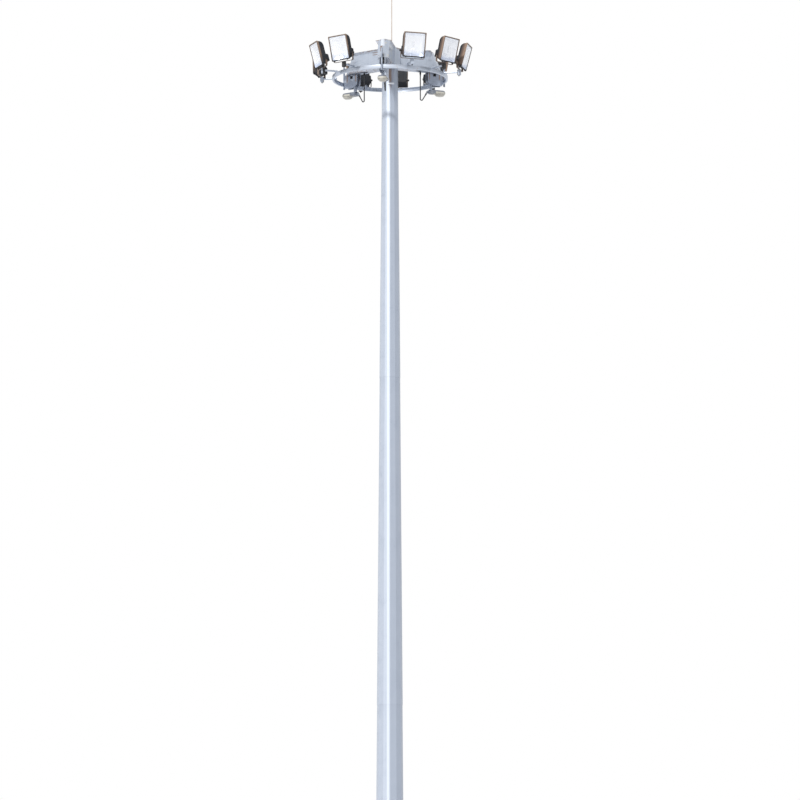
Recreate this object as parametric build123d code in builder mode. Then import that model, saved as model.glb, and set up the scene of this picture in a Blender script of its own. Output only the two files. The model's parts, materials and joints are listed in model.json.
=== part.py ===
"""High mast floodlight tower: a tapered twelve-sided steel shaft with a three-armed
head frame and a ring of nine floodlights that winches down the shaft for service.

Millimetres, +Z up. The origin is the centre of the base flange's underside.
Angles are measured from +X, counter-clockwise seen from above. The front is -Y.
"""
from build123d import *
from math import cos, radians, sin, sqrt, tan
import os

os.makedirs("parts", exist_ok=True)

# Layout round the mast
ARM_COUNT = 3
FIRST_ARM_ANGLE = -98
LAMP_ANGLES = (-72, -41, -13, 52, 85, 115, 165, 200, 230)
RING_HEIGHT = 24000
RUNNING_GAP = 0.3

# Base flange, gussets and anchor holes
FLANGE_DIAMETER = 1040
FLANGE_THICKNESS = 40
CABLE_ENTRY = 150
CABLE_ENTRY_CIRCLE = 340
CABLE_ENTRY_COUNT = 3
ANCHOR_CIRCLE = 900
ANCHOR_HOLE = 42
ANCHOR_COUNT = 12
GUSSET_HEIGHT = 260
GUSSET_THICKNESS = 16
GUSSET_NOSE = 30
GUSSET_MARGIN = 22

# Shaft, across flats at the ground, and its slip-jointed sections
SHAFT_SIDES = 12
SHAFT_BASE_FLATS = 740
SHAFT_TAPER = 0.0151
BOTTOM_WALL = 6
MIDDLE_WALL = 5
TOP_WALL = 4
SLIP_GAP = 0.3
BOTTOM_SECTION_TOP = 8900
MIDDLE_SECTION_START = 7850
MIDDLE_SECTION_TOP = 17000
TOP_SECTION_START = 16200

# Service door in the shaft's front right flat
DOOR_FACE_ANGLE = -75
DOOR_CENTRE_HEIGHT = 1250
DOOR_OPENING_WIDTH = 250
DOOR_OPENING_HEIGHT = 1150
DOOR_CORNER = 60
DOOR_FRAME_WALL = 10
DOOR_FRAME_PROUD = 14
DOOR_FRAME_DEPTH = 90
DOOR_SHEET = 5
DOOR_LAP = 16
DOOR_LATCH_RADIUS = 14
DOOR_LATCH_SPACING = 760
DOOR_HINGE_RADIUS = 9
DOOR_HINGE_LENGTH = 90

# Earthing boss on the shaft's back flat
EARTH_ANGLE = 105
EARTH_HEIGHT = 420
EARTH_RADIUS = 25
EARTH_LENGTH = 35
EARTH_HOLE = 12

# Head frame: six-sided drum and three box arms with pointed noses
HEAD_RISE = 260
HEAD_DEPTH = 520
HUB_FACE = 232
HUB_WALL = 10
HUB_TOP_PLATE = 12
HUB_FIT = 0.3
ARM_WIDTH = 290
ARM_FLARED_WIDTH = 350
ARM_FLARE_HEIGHT = 75
ARM_PLATE = 5
NOSE_START_TOP = 1060
NOSE_START_BOTTOM = 1290
NOSE_TIP_TOP = 1215
NOSE_TIP_BOTTOM = 1455
ROPE_SLOT_WIDTH = 90
ROPE_SLOT_START = 720
ROPE_SLOT_END = 1280
NOSE_NOTCH_WIDTH = 60
NOSE_NOTCH_HEIGHT = 95

# Lifting rope, its head pulley and pin
ROPE_RADIUS_FROM_AXIS = 1180
ROPE_DIAMETER = 10
PULLEY_PITCH_RADIUS = 140
PULLEY_RIM = 10
PULLEY_WIDTH = 40
PULLEY_HUB_RADIUS = 34
PULLEY_WEB = 12
PULLEY_HEIGHT = 290
PIN_DIAMETER = 30

# Lightning rod
ROD_OFFSET = 44
ROD_DIAMETER = 20
ROD_LENGTH = 1820
ROD_TIP = 90
ROD_SOCKET_DIAMETER = 56
ROD_SOCKET_HEIGHT = 90

# Luminaire ring: channel section with its toes inward
RING_OUTER_RADIUS = 1490
RING_DEPTH = 100
RING_FLANGE = 50
RING_WALL = 7
SPLICE_ANGLE = 9
SPLICE_WALL = 8
SPLICE_DEPTH = 70

# Stub arms and junction boxes that carry the floodlights
STUB_DIAMETER = 48
STUB_WALL = 4
STUB_START = 1432
SADDLE_LENGTH = 110
SADDLE_THICKNESS = 8
BOX_WIDTH = 84
BOX_LENGTH = 76
BOX_HEIGHT = 140
BOX_CORNER = 10
BOX_CENTRE_RADIUS = 1820
BOX_TOP = 140

# Floodlight yoke
YOKE_BAR = 6
YOKE_WIDTH = 50
YOKE_SIDE_GAP = 12
YOKE_BEND = 22
PIVOT_RADIUS_FROM_AXIS = 1840
PIVOT_HEIGHT = 335

# Floodlight: frame, curved housing, gear case and pivots
# Degrees each face looks below the level; one has been set nearly straight out
LAMP_AIMS = (15, 15, 15, 15, 15, 15, 2, 15, 15)
LAMP_WIDTH = 590
LAMP_LENGTH = 640
LAMP_CORNER = 16
LAMP_FRAME_DEPTH = 32
LAMP_FRAME_LIP = 14
PIVOT_FROM_TOP = 493
PIVOT_BEHIND_FACE = 150
HOUSING_WIDTH = 556
HOUSING_DEPTH = 168
GEAR_CASE_DEPTH = 232
GEAR_CASE_TOP = 400
GEAR_CASE_BOTTOM = 566
HOUSING_WALL = 5
GLASS_THICKNESS = 6
GLASS_RECESS = 9
GLASS_LEDGE = 12
GLASS_GAP = 0.5
RIB_COUNT = 5
RIB_SPACING = 90
RIB_HEIGHT = 12
RIB_THICKNESS = 8
PIVOT_PIN = 14
PIVOT_PIN_GAP = 0.5
BOSS_RADIUS = 20
KNOB_RADIUS = 23
KNOB_LENGTH = 28
SIDE_PLAY = 1
CLIP_SPACING = 420
CLIP_WIDTH = 34
CLIP_DROP = 14
CLIP_DEPTH = 26

# Docking units on the ring, one under each arm
DOCK_INNER_RADIUS = 1030
DOCK_PLATE_SPACING = 150
DOCK_PLATE = 10
DOCK_TOP = 250
DOCK_BOTTOM = -110
DOCK_WINDOW = 90
DOCK_WINDOW_RADIUS = 1215
DOCK_WINDOW_HEIGHT = 180
DOCK_WINDOW_CORNER = 12
DOCK_TOE_LENGTH = 150
DOCK_TOE_RISE = 85
DOCK_TOE_CORNER = 40
ANCHOR_BLOCK_HEIGHT = 60
ANCHOR_BLOCK_TOP = 110
ANCHOR_BLOCK_LENGTH = 80
LEAD_SHELF = 8
LEAD_SHELF_WIDTH = 60

# Guide posts outside the ring, one in line with each arm
POST_DIAMETER = 50
POST_WALL = 4
POST_TOP = 480
POST_BOTTOM = -100
POST_FOOT_WIDTH = 40
POST_FOOT_HEIGHT = 90

# Downlights under the ring, one at each docking unit
DOWNLIGHT_INNER_RADIUS = 1040
DOWNLIGHT_LENGTH = 490
DOWNLIGHT_WIDTH = 240
DOWNLIGHT_TOP = -225
DOWNLIGHT_DEPTH = 80
DOWNLIGHT_NECK = 60
DOWNLIGHT_NECK_LENGTH = 40
ENTRY_DIAMETER = 46
ENTRY_LENGTH = 62
ENTRY_ANGLE = 58
DOWNLIGHT_CROWN = 0.82
BOWL_LENGTH = 270
BOWL_WIDTH = 212
BOWL_DEPTH = 70
BRACKET_RADIUS = 1140
BRACKET_BAR = 10
BRACKET_TOP = -20
BRACKET_FOOT_INNER = 70
BRACKET_FOOT_OUTER = 190

# Downlight leads, held by the shelf gland above and the lamp neck below
LEAD_DIAMETER = 28
GLAND_RADIUS = 24
GLAND_LENGTH = 50
LEAD_RADIUS_FROM_AXIS = 846
LEAD_LOW_POINT = -503
LEAD_LOOP_STEP = 21
LEAD_LOOP_RISE = 19
LEAD_LAST_STRAIGHT = 205

HEAD_BOTTOM = RING_HEIGHT + HEAD_RISE
HEAD_TOP = HEAD_BOTTOM + HEAD_DEPTH
SHAFT_TOP = HEAD_TOP - HUB_TOP_PLATE
RING_TOP = RING_HEIGHT + RING_DEPTH / 2
RING_INNER_RADIUS = RING_OUTER_RADIUS - RING_FLANGE
ARM_ANGLES = [FIRST_ARM_ANGLE + k * 360 / ARM_COUNT for k in range(ARM_COUNT)]


def save(piece, name):
    """Label a finished piece and write it to its own file."""
    piece.part.label = name
    export_step(piece.part, f"parts/{name}.step")


def outward(angle):
    """Level unit direction away from the mast's axis."""
    return Vector(cos(radians(angle)), sin(radians(angle)), 0)


def sideways(angle):
    """Level unit direction across the outward one, counter-clockwise."""
    return Vector(-sin(radians(angle)), cos(radians(angle)), 0)


def plan_plane(angle, height):
    """Level plane whose x runs outward from the mast's axis."""
    return Plane(origin=(0, 0, height), x_dir=outward(angle), z_dir=(0, 0, 1))


def side_plane(angle, height=0):
    """Upright plane through the axis: x outward, y up."""
    return Plane(origin=(0, 0, height), x_dir=outward(angle), z_dir=-sideways(angle))


def cross_plane(angle, radius, height=0):
    """Upright plane that faces outward at a radius: x sideways, y up."""
    centre = outward(angle) * radius + Vector(0, 0, height)
    return Plane(origin=centre, x_dir=sideways(angle), z_dir=outward(angle))


def bottom_flat(height):
    """Distance from the axis to a flat of the bottom section, outside."""
    return (SHAFT_BASE_FLATS - SHAFT_TAPER * height) / 2


def middle_flat(height):
    """The same for the middle section, which slips over the bottom one."""
    return bottom_flat(height) + SLIP_GAP + MIDDLE_WALL


def top_flat(height):
    """The same for the top section, which slips over the middle one."""
    return middle_flat(height) + SLIP_GAP + TOP_WALL


# Base flange: one thick round plate, bored for the cable entries and anchor studs
with BuildPart() as base_flange:
    with BuildSketch():
        Circle(FLANGE_DIAMETER / 2)
        with PolarLocations(CABLE_ENTRY_CIRCLE / 2, CABLE_ENTRY_COUNT):
            Circle(CABLE_ENTRY / 2, mode=Mode.SUBTRACT)
        with PolarLocations(ANCHOR_CIRCLE / 2, ANCHOR_COUNT):
            Circle(ANCHOR_HOLE / 2, mode=Mode.SUBTRACT)
    extrude(amount=FLANGE_THICKNESS)
save(base_flange, "base_flange")

# Gussets: one on the middle of each flat, between the anchor studs
with BuildPart() as base_gussets:
    foot = bottom_flat(FLANGE_THICKNESS)
    head = bottom_flat(FLANGE_THICKNESS + GUSSET_HEIGHT)
    reach = FLANGE_DIAMETER / 2 - GUSSET_MARGIN
    for side in range(SHAFT_SIDES):
        with BuildSketch(side_plane((side + 0.5) * 360 / SHAFT_SIDES, FLANGE_THICKNESS)):
            Polygon(
                (foot, 0),
                (reach, 0),
                (reach, GUSSET_NOSE),
                (head + GUSSET_NOSE, GUSSET_HEIGHT),
                (head, GUSSET_HEIGHT),
                align=None,
            )
        extrude(amount=GUSSET_THICKNESS / 2, both=True)
save(base_gussets, "base_gussets")

def flat_plane(angle, height):
    """Plane on one flat of the bottom section: x sideways, y up the flat."""
    origin = outward(angle) * bottom_flat(height) + Vector(0, 0, height)
    normal = outward(angle) + Vector(0, 0, SHAFT_TAPER / 2)
    return Plane(origin=origin, x_dir=sideways(angle), z_dir=normal.normalized())


door_plane = flat_plane(DOOR_FACE_ANGLE, DOOR_CENTRE_HEIGHT)


def shaft_section(start, end, flat, wall):
    """Tapered twelve-sided tube: one polygon lofted to another, and bored."""
    with BuildPart() as section:
        for height in (start, end):
            with BuildSketch(Plane.XY.offset(height)):
                RegularPolygon(flat(height), SHAFT_SIDES, major_radius=False)
        loft()
        for height in (start, end):
            with BuildSketch(Plane.XY.offset(height)):
                RegularPolygon(flat(height) - wall, SHAFT_SIDES, major_radius=False)
        loft(mode=Mode.SUBTRACT)
    return section.part


# Bottom section, cut for the service door
bottom_tube = shaft_section(FLANGE_THICKNESS, BOTTOM_SECTION_TOP, bottom_flat, BOTTOM_WALL)
with BuildPart() as shaft_bottom:
    add(bottom_tube)
    with BuildSketch(door_plane.offset(-DOOR_FRAME_DEPTH)):
        RectangleRounded(DOOR_OPENING_WIDTH, DOOR_OPENING_HEIGHT, DOOR_CORNER)
    extrude(amount=2 * DOOR_FRAME_DEPTH, mode=Mode.SUBTRACT)
save(shaft_bottom, "shaft_bottom")

# Middle and top sections, each slipped over the one below
with BuildPart() as shaft_middle:
    add(shaft_section(MIDDLE_SECTION_START, MIDDLE_SECTION_TOP, middle_flat, MIDDLE_WALL))
save(shaft_middle, "shaft_middle")

with BuildPart() as shaft_top:
    add(shaft_section(TOP_SECTION_START, SHAFT_TOP, top_flat, TOP_WALL))
save(shaft_top, "shaft_top")

# Door frame: a deep collar welded into the opening
with BuildPart() as door_frame:
    width = DOOR_OPENING_WIDTH - 2 * RUNNING_GAP
    height = DOOR_OPENING_HEIGHT - 2 * RUNNING_GAP
    with BuildSketch(door_plane.offset(DOOR_FRAME_PROUD)):
        RectangleRounded(width, height, DOOR_CORNER)
        offset(amount=-DOOR_FRAME_WALL, mode=Mode.SUBTRACT)
    extrude(amount=-DOOR_FRAME_DEPTH)
save(door_frame, "door_frame")

# Access door: flat sheet that laps the frame, with two latches and two hinges
with BuildPart() as access_door:
    lid_width = DOOR_OPENING_WIDTH + 2 * DOOR_LAP
    lid_height = DOOR_OPENING_HEIGHT + 2 * DOOR_LAP
    with BuildSketch(door_plane.offset(DOOR_FRAME_PROUD)):
        RectangleRounded(lid_width, lid_height, DOOR_CORNER + DOOR_LAP)
    extrude(amount=DOOR_SHEET)
    with BuildSketch(door_plane.offset(DOOR_FRAME_PROUD + DOOR_SHEET)):
        with Locations((DOOR_OPENING_WIDTH / 2 - 2 * DOOR_LATCH_RADIUS, 0)):
            with GridLocations(0, DOOR_LATCH_SPACING, 1, 2):
                Circle(DOOR_LATCH_RADIUS)
    extrude(amount=DOOR_SHEET)
    hinge_x = -lid_width / 2
    with Locations(door_plane.offset(DOOR_FRAME_PROUD)):
        with Locations((hinge_x, 0, 0)):
            with GridLocations(0, DOOR_LATCH_SPACING, 1, 2):
                Cylinder(DOOR_HINGE_RADIUS, DOOR_HINGE_LENGTH, rotation=(90, 0, 0))
save(access_door, "access_door")

# Earthing boss: round lug with a tapped hole
with BuildPart() as earthing_boss:
    with BuildSketch(flat_plane(EARTH_ANGLE, EARTH_HEIGHT)):
        Circle(EARTH_RADIUS)
        Circle(EARTH_HOLE / 2, mode=Mode.SUBTRACT)
    extrude(amount=EARTH_LENGTH)
save(earthing_boss, "earthing_boss")

# Head hub: six-sided welded drum over the shaft's top, one wide face for each arm
with BuildPart() as head_hub:
    half = ARM_WIDTH / 2
    corners = []
    for angle in ARM_ANGLES:
        for side in (-half, half):
            corner = outward(angle) * HUB_FACE + sideways(angle) * side
            corners.append((corner.X, corner.Y))
    with BuildSketch(Plane.XY.offset(HEAD_BOTTOM)):
        Polygon(*corners, align=None)
    extrude(amount=HEAD_DEPTH)
    with BuildSketch(Plane.XY.offset(HEAD_BOTTOM + HUB_WALL)):
        Polygon(*corners, align=None)
        offset(amount=-HUB_WALL, kind=Kind.INTERSECTION, mode=Mode.REPLACE)
    extrude(amount=HEAD_DEPTH - HUB_WALL - HUB_TOP_PLATE, mode=Mode.SUBTRACT)
    with BuildSketch(Plane.XY.offset(HEAD_BOTTOM)):
        RegularPolygon(top_flat(HEAD_BOTTOM) + HUB_FIT, SHAFT_SIDES, major_radius=False)
    extrude(amount=HUB_WALL, mode=Mode.SUBTRACT)
save(head_hub, "head_hub")


def arm_form(angle, inset):
    """Box arm as a solid: a flared section run outward, cut to a leaning prow."""
    half = ARM_WIDTH / 2 - inset
    flared = ARM_FLARED_WIDTH / 2 - inset
    low = inset
    high = HEAD_DEPTH - inset
    flare_start = HEAD_DEPTH - ARM_FLARE_HEIGHT
    with BuildPart() as form:
        with BuildSketch(cross_plane(angle, HUB_FACE + inset, HEAD_BOTTOM)):
            Polygon(
                (-half, low),
                (half, low),
                (half, flare_start),
                (flared, high),
                (-flared, high),
                (-half, flare_start),
                align=None,
            )
        extrude(amount=NOSE_TIP_BOTTOM)
        for height, start, tip in (
            (HEAD_BOTTOM, NOSE_START_BOTTOM, NOSE_TIP_BOTTOM),
            (HEAD_TOP, NOSE_START_TOP, NOSE_TIP_TOP),
        ):
            with BuildSketch(plan_plane(angle, height)):
                Polygon(
                    (0, -ARM_FLARED_WIDTH / 2),
                    (start, -ARM_FLARED_WIDTH / 2),
                    (tip, 0),
                    (start, ARM_FLARED_WIDTH / 2),
                    (0, ARM_FLARED_WIDTH / 2),
                    align=None,
                )
                if inset:
                    offset(amount=-inset, kind=Kind.INTERSECTION, mode=Mode.REPLACE)
        loft(mode=Mode.INTERSECT)
    return form.part


# Head arms: folded sheet boxes, slotted below the nose for the lifting rope
for number, angle in enumerate(ARM_ANGLES, start=1):
    outer = arm_form(angle, 0)
    inner = arm_form(angle, ARM_PLATE)
    with BuildPart() as head_arm:
        add(outer)
        add(inner, mode=Mode.SUBTRACT)
        with BuildSketch(plan_plane(angle, HEAD_BOTTOM)):
            with Locations(((ROPE_SLOT_START + ROPE_SLOT_END) / 2, 0)):
                SlotOverall(ROPE_SLOT_END - ROPE_SLOT_START, ROPE_SLOT_WIDTH)
        extrude(amount=2 * ARM_PLATE, mode=Mode.SUBTRACT)
        # Notch through the foot of the prow, joined to the slot
        with BuildSketch(cross_plane(angle, ROPE_SLOT_END - ROPE_SLOT_WIDTH, HEAD_BOTTOM)):
            Rectangle(NOSE_NOTCH_WIDTH, 2 * (NOSE_NOTCH_HEIGHT - NOSE_NOTCH_WIDTH / 2))
            with Locations((0, NOSE_NOTCH_HEIGHT - NOSE_NOTCH_WIDTH / 2)):
                Circle(NOSE_NOTCH_WIDTH / 2)
        extrude(amount=NOSE_TIP_BOTTOM, mode=Mode.SUBTRACT)
    save(head_arm, f"head_arm_{number}")

# Pulleys: grooved wheels inside the arms, each on a pin between the arm's sides
pulley_centre = ROPE_RADIUS_FROM_AXIS - PULLEY_PITCH_RADIUS
pulley_height = HEAD_BOTTOM + PULLEY_HEIGHT
pulley_outer = PULLEY_PITCH_RADIUS + PULLEY_RIM
groove_floor = PULLEY_PITCH_RADIUS - ROPE_DIAMETER / 2 - RUNNING_GAP
with BuildPart() as pulley_wheels:
    for angle in ARM_ANGLES:
        wheel = Plane(
            origin=outward(angle) * pulley_centre + Vector(0, 0, pulley_height),
            x_dir=outward(angle),
            z_dir=Vector(0, 0, 1),
        )
        with BuildSketch(wheel):
            Polygon(
                (PIN_DIAMETER / 2 + RUNNING_GAP, -PULLEY_WIDTH / 2),
                (PULLEY_HUB_RADIUS, -PULLEY_WIDTH / 2),
                (PULLEY_HUB_RADIUS, -PULLEY_WEB / 2),
                (groove_floor - PULLEY_RIM, -PULLEY_WEB / 2),
                (groove_floor - PULLEY_RIM, -PULLEY_WIDTH / 2),
                (pulley_outer, -PULLEY_WIDTH / 2),
                (groove_floor, -ROPE_DIAMETER / 2),
                (groove_floor, ROPE_DIAMETER / 2),
                (pulley_outer, PULLEY_WIDTH / 2),
                (groove_floor - PULLEY_RIM, PULLEY_WIDTH / 2),
                (groove_floor - PULLEY_RIM, PULLEY_WEB / 2),
                (PULLEY_HUB_RADIUS, PULLEY_WEB / 2),
                (PULLEY_HUB_RADIUS, PULLEY_WIDTH / 2),
                (PIN_DIAMETER / 2 + RUNNING_GAP, PULLEY_WIDTH / 2),
                align=None,
            )
        revolve(axis=Axis(wheel.origin, sideways(angle)))
save(pulley_wheels, "pulley_wheels")

with BuildPart() as pulley_pins:
    for angle in ARM_ANGLES:
        centre = outward(angle) * pulley_centre + Vector(0, 0, pulley_height)
        with BuildSketch(Plane(origin=centre, x_dir=outward(angle), z_dir=sideways(angle))):
            Circle(PIN_DIAMETER / 2)
        extrude(amount=ARM_WIDTH / 2 - ARM_PLATE, both=True)
save(pulley_pins, "pulley_pins")

# Lifting ropes: from each pulley's rim straight down to the docking unit's anchor
with BuildPart() as lifting_ropes:
    for angle in ARM_ANGLES:
        with BuildSketch(plan_plane(angle, RING_HEIGHT + ANCHOR_BLOCK_TOP)):
            with Locations((ROPE_RADIUS_FROM_AXIS, 0)):
                Circle(ROPE_DIAMETER / 2)
        extrude(amount=pulley_height - RING_HEIGHT - ANCHOR_BLOCK_TOP)
save(lifting_ropes, "lifting_ropes")

# Lightning rod: pointed rod in a socket on the hub's top plate
with BuildPart() as lightning_rod:
    rod_radius = ROD_DIAMETER / 2
    rod_top = HEAD_TOP + ROD_LENGTH
    with BuildSketch(Plane.XZ):
        Polygon(
            (ROD_OFFSET, HEAD_TOP),
            (ROD_OFFSET + ROD_SOCKET_DIAMETER / 2, HEAD_TOP),
            (ROD_OFFSET + ROD_SOCKET_DIAMETER / 2, HEAD_TOP + ROD_SOCKET_HEIGHT / 4),
            (ROD_OFFSET + rod_radius * 1.6, HEAD_TOP + ROD_SOCKET_HEIGHT / 4),
            (ROD_OFFSET + rod_radius * 1.6, HEAD_TOP + ROD_SOCKET_HEIGHT),
            (ROD_OFFSET + rod_radius, HEAD_TOP + ROD_SOCKET_HEIGHT),
            (ROD_OFFSET + rod_radius, rod_top - ROD_TIP),
            (ROD_OFFSET + rod_radius / 5, rod_top),
            (ROD_OFFSET, rod_top),
            align=None,
        )
    revolve(axis=Axis((ROD_OFFSET, 0, 0), (0, 0, 1)))
save(lightning_rod, "lightning_rod")

# Ring segments: rolled channel, web outside and toes inward, one for each bay
for number, angle in enumerate(ARM_ANGLES, start=1):
    half_bay = 180 / ARM_COUNT
    with BuildPart() as ring_segment:
        with BuildSketch(side_plane(angle - half_bay, RING_HEIGHT)):
            with Locations((RING_OUTER_RADIUS - RING_FLANGE / 2, 0)):
                Rectangle(RING_FLANGE, RING_DEPTH)
            with Locations((RING_OUTER_RADIUS - RING_FLANGE / 2 - RING_WALL, 0)):
                Rectangle(RING_FLANGE, RING_DEPTH - 2 * RING_WALL, mode=Mode.SUBTRACT)
        revolve(axis=Axis.Z, revolution_arc=2 * half_bay)
    save(ring_segment, f"ring_segment_{number}")

# Splice plates: curved plates inside the channel over each joint between segments
with BuildPart() as ring_splices:
    for angle in ARM_ANGLES:
        joint = angle + 180 / ARM_COUNT
        with BuildSketch(side_plane(joint - SPLICE_ANGLE / 2, RING_HEIGHT)):
            with Locations((RING_OUTER_RADIUS - RING_WALL - SPLICE_WALL / 2, 0)):
                Rectangle(SPLICE_WALL, SPLICE_DEPTH)
        revolve(axis=Axis.Z, revolution_arc=SPLICE_ANGLE)
save(ring_splices, "ring_splices")

# Stub arms: short tubes on saddles across the ring's top flange
box_inner_face = BOX_CENTRE_RADIUS - BOX_LENGTH / 2
stub_height = RING_TOP + SADDLE_THICKNESS + STUB_DIAMETER / 2
saddle_end = sqrt(RING_OUTER_RADIUS**2 - (SADDLE_LENGTH / 2) ** 2) - RUNNING_GAP
with BuildPart() as stub_arms:
    for angle in LAMP_ANGLES:
        with BuildSketch(cross_plane(angle, RING_INNER_RADIUS, RING_TOP)):
            with Locations((0, SADDLE_THICKNESS)):
                Rectangle(SADDLE_LENGTH, SADDLE_THICKNESS, align=(Align.CENTER, Align.MAX))
        extrude(amount=saddle_end - RING_INNER_RADIUS)
        with BuildSketch(cross_plane(angle, STUB_START, stub_height)):
            Circle(STUB_DIAMETER / 2)
        extrude(amount=box_inner_face - STUB_START)
        with BuildSketch(cross_plane(angle, STUB_START, stub_height)):
            Circle(STUB_DIAMETER / 2 - STUB_WALL)
        extrude(amount=box_inner_face - STUB_START, mode=Mode.SUBTRACT)
save(stub_arms, "stub_arms")

# Junction boxes: cast boxes on the stub arms' ends, under the yokes
with BuildPart() as junction_boxes:
    for angle in LAMP_ANGLES:
        with BuildSketch(plan_plane(angle, RING_HEIGHT + BOX_TOP - BOX_HEIGHT)):
            with Locations((BOX_CENTRE_RADIUS, 0)):
                RectangleRounded(BOX_LENGTH, BOX_WIDTH, BOX_CORNER)
        extrude(amount=BOX_HEIGHT)
save(junction_boxes, "junction_boxes")

# Outline of a yoke: flat bar bent to a U
yoke_inner = LAMP_WIDTH / 2 + YOKE_SIDE_GAP
yoke_outer = yoke_inner + YOKE_BAR
yoke_rise = PIVOT_HEIGHT - BOX_TOP
with BuildSketch() as yoke_hollow:
    with Locations((0, YOKE_BAR)):
        Rectangle(2 * yoke_inner, 2 * yoke_rise, align=(Align.CENTER, Align.MIN))
    fillet(yoke_hollow.vertices().group_by(Axis.Y)[0], YOKE_BEND)

with BuildSketch() as yoke_outline:
    Rectangle(2 * yoke_outer, 2 * yoke_rise, align=(Align.CENTER, Align.MIN))
    fillet(yoke_outline.vertices().group_by(Axis.Y)[0], YOKE_BEND + YOKE_BAR)
    add(yoke_hollow.sketch, mode=Mode.SUBTRACT)


def yoke_form(angle):
    """One yoke: the U run as wide as the bar, rounded about its pivots and bored."""
    pivot = outward(angle) * PIVOT_RADIUS_FROM_AXIS
    pivot = pivot + Vector(0, 0, RING_HEIGHT + PIVOT_HEIGHT)
    pivot_plane = Plane(origin=pivot, x_dir=outward(angle), z_dir=-sideways(angle))
    back = PIVOT_RADIUS_FROM_AXIS - YOKE_WIDTH / 2
    with BuildPart() as yoke:
        with BuildSketch(cross_plane(angle, back, RING_HEIGHT + BOX_TOP)):
            add(yoke_outline.sketch)
        extrude(amount=YOKE_WIDTH)
        with BuildSketch(pivot_plane):
            Circle(YOKE_WIDTH / 2)
            Rectangle(YOKE_WIDTH, 2 * yoke_rise, align=(Align.CENTER, Align.MAX))
        extrude(amount=2 * yoke_outer, both=True, mode=Mode.INTERSECT)
        with BuildSketch(pivot_plane):
            Circle(PIVOT_PIN / 2 + PIVOT_PIN_GAP)
        extrude(amount=2 * yoke_outer, both=True, mode=Mode.SUBTRACT)
    return yoke.part


# Yokes: one for each floodlight, bolted down on its junction box
yoke_forms = [yoke_form(angle) for angle in LAMP_ANGLES]
with BuildPart() as floodlight_yokes:
    add(yoke_forms)
save(floodlight_yokes, "floodlight_yokes")


def lamp_planes(angle, tilt):
    """The face plane at the pivot, x along the pivot and y up the face, and the side
    plane, x up the face and y out of it."""
    along = sideways(angle)
    aim = outward(angle) * cos(radians(tilt)) - Vector(0, 0, sin(radians(tilt)))
    pivot = outward(angle) * PIVOT_RADIUS_FROM_AXIS
    pivot = pivot + Vector(0, 0, RING_HEIGHT + PIVOT_HEIGHT)
    face = Plane(origin=pivot, x_dir=along, z_dir=aim)
    side = Plane(origin=pivot, x_dir=face.y_dir, z_dir=along)
    return face, side


# Side outline of the floodlight housing: crowned back, gear case below, flat front
outline_top = PIVOT_FROM_TOP - LAMP_FRAME_LIP
outline_foot = PIVOT_FROM_TOP - LAMP_LENGTH + LAMP_FRAME_LIP
shoulder = PIVOT_BEHIND_FACE - LAMP_FRAME_DEPTH
housing_back = PIVOT_BEHIND_FACE - HOUSING_DEPTH
crown_radius = shoulder - housing_back
crown = outline_top - crown_radius
case_back = PIVOT_BEHIND_FACE - GEAR_CASE_DEPTH
case_top = PIVOT_FROM_TOP - GEAR_CASE_TOP
case_bottom = PIVOT_FROM_TOP - GEAR_CASE_BOTTOM
case_slope = (housing_back - case_back) / 2
with BuildSketch() as housing_outline:
    with BuildLine():
        Polyline(
            (outline_top, shoulder),
            (outline_top, PIVOT_BEHIND_FACE),
            (outline_foot, PIVOT_BEHIND_FACE),
            (outline_foot, shoulder),
            (case_bottom, case_back),
            (case_top, case_back),
            (case_top + case_slope, housing_back),
            (crown, housing_back),
        )
        CenterArc((crown, shoulder), crown_radius, 270, 90)
    make_face()

# The hollow inside, one wall in from the outline
with BuildSketch() as housing_hollow:
    add(housing_outline.sketch)
    offset(amount=-HOUSING_WALL, kind=Kind.INTERSECTION, mode=Mode.REPLACE)

# Outline of a cooling rib: it follows the crowned back above the gear case
with BuildSketch() as rib_outline:
    add(housing_outline.sketch)
    offset(amount=RIB_HEIGHT, kind=Kind.INTERSECTION, mode=Mode.REPLACE)
    with Locations((0, PIVOT_BEHIND_FACE)):
        Rectangle(3 * LAMP_LENGTH, 2 * LAMP_FRAME_DEPTH, mode=Mode.SUBTRACT)
    with Locations((case_top, 0)):
        Rectangle(
            LAMP_LENGTH, LAMP_LENGTH, align=(Align.MAX, Align.CENTER), mode=Mode.SUBTRACT
        )


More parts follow.
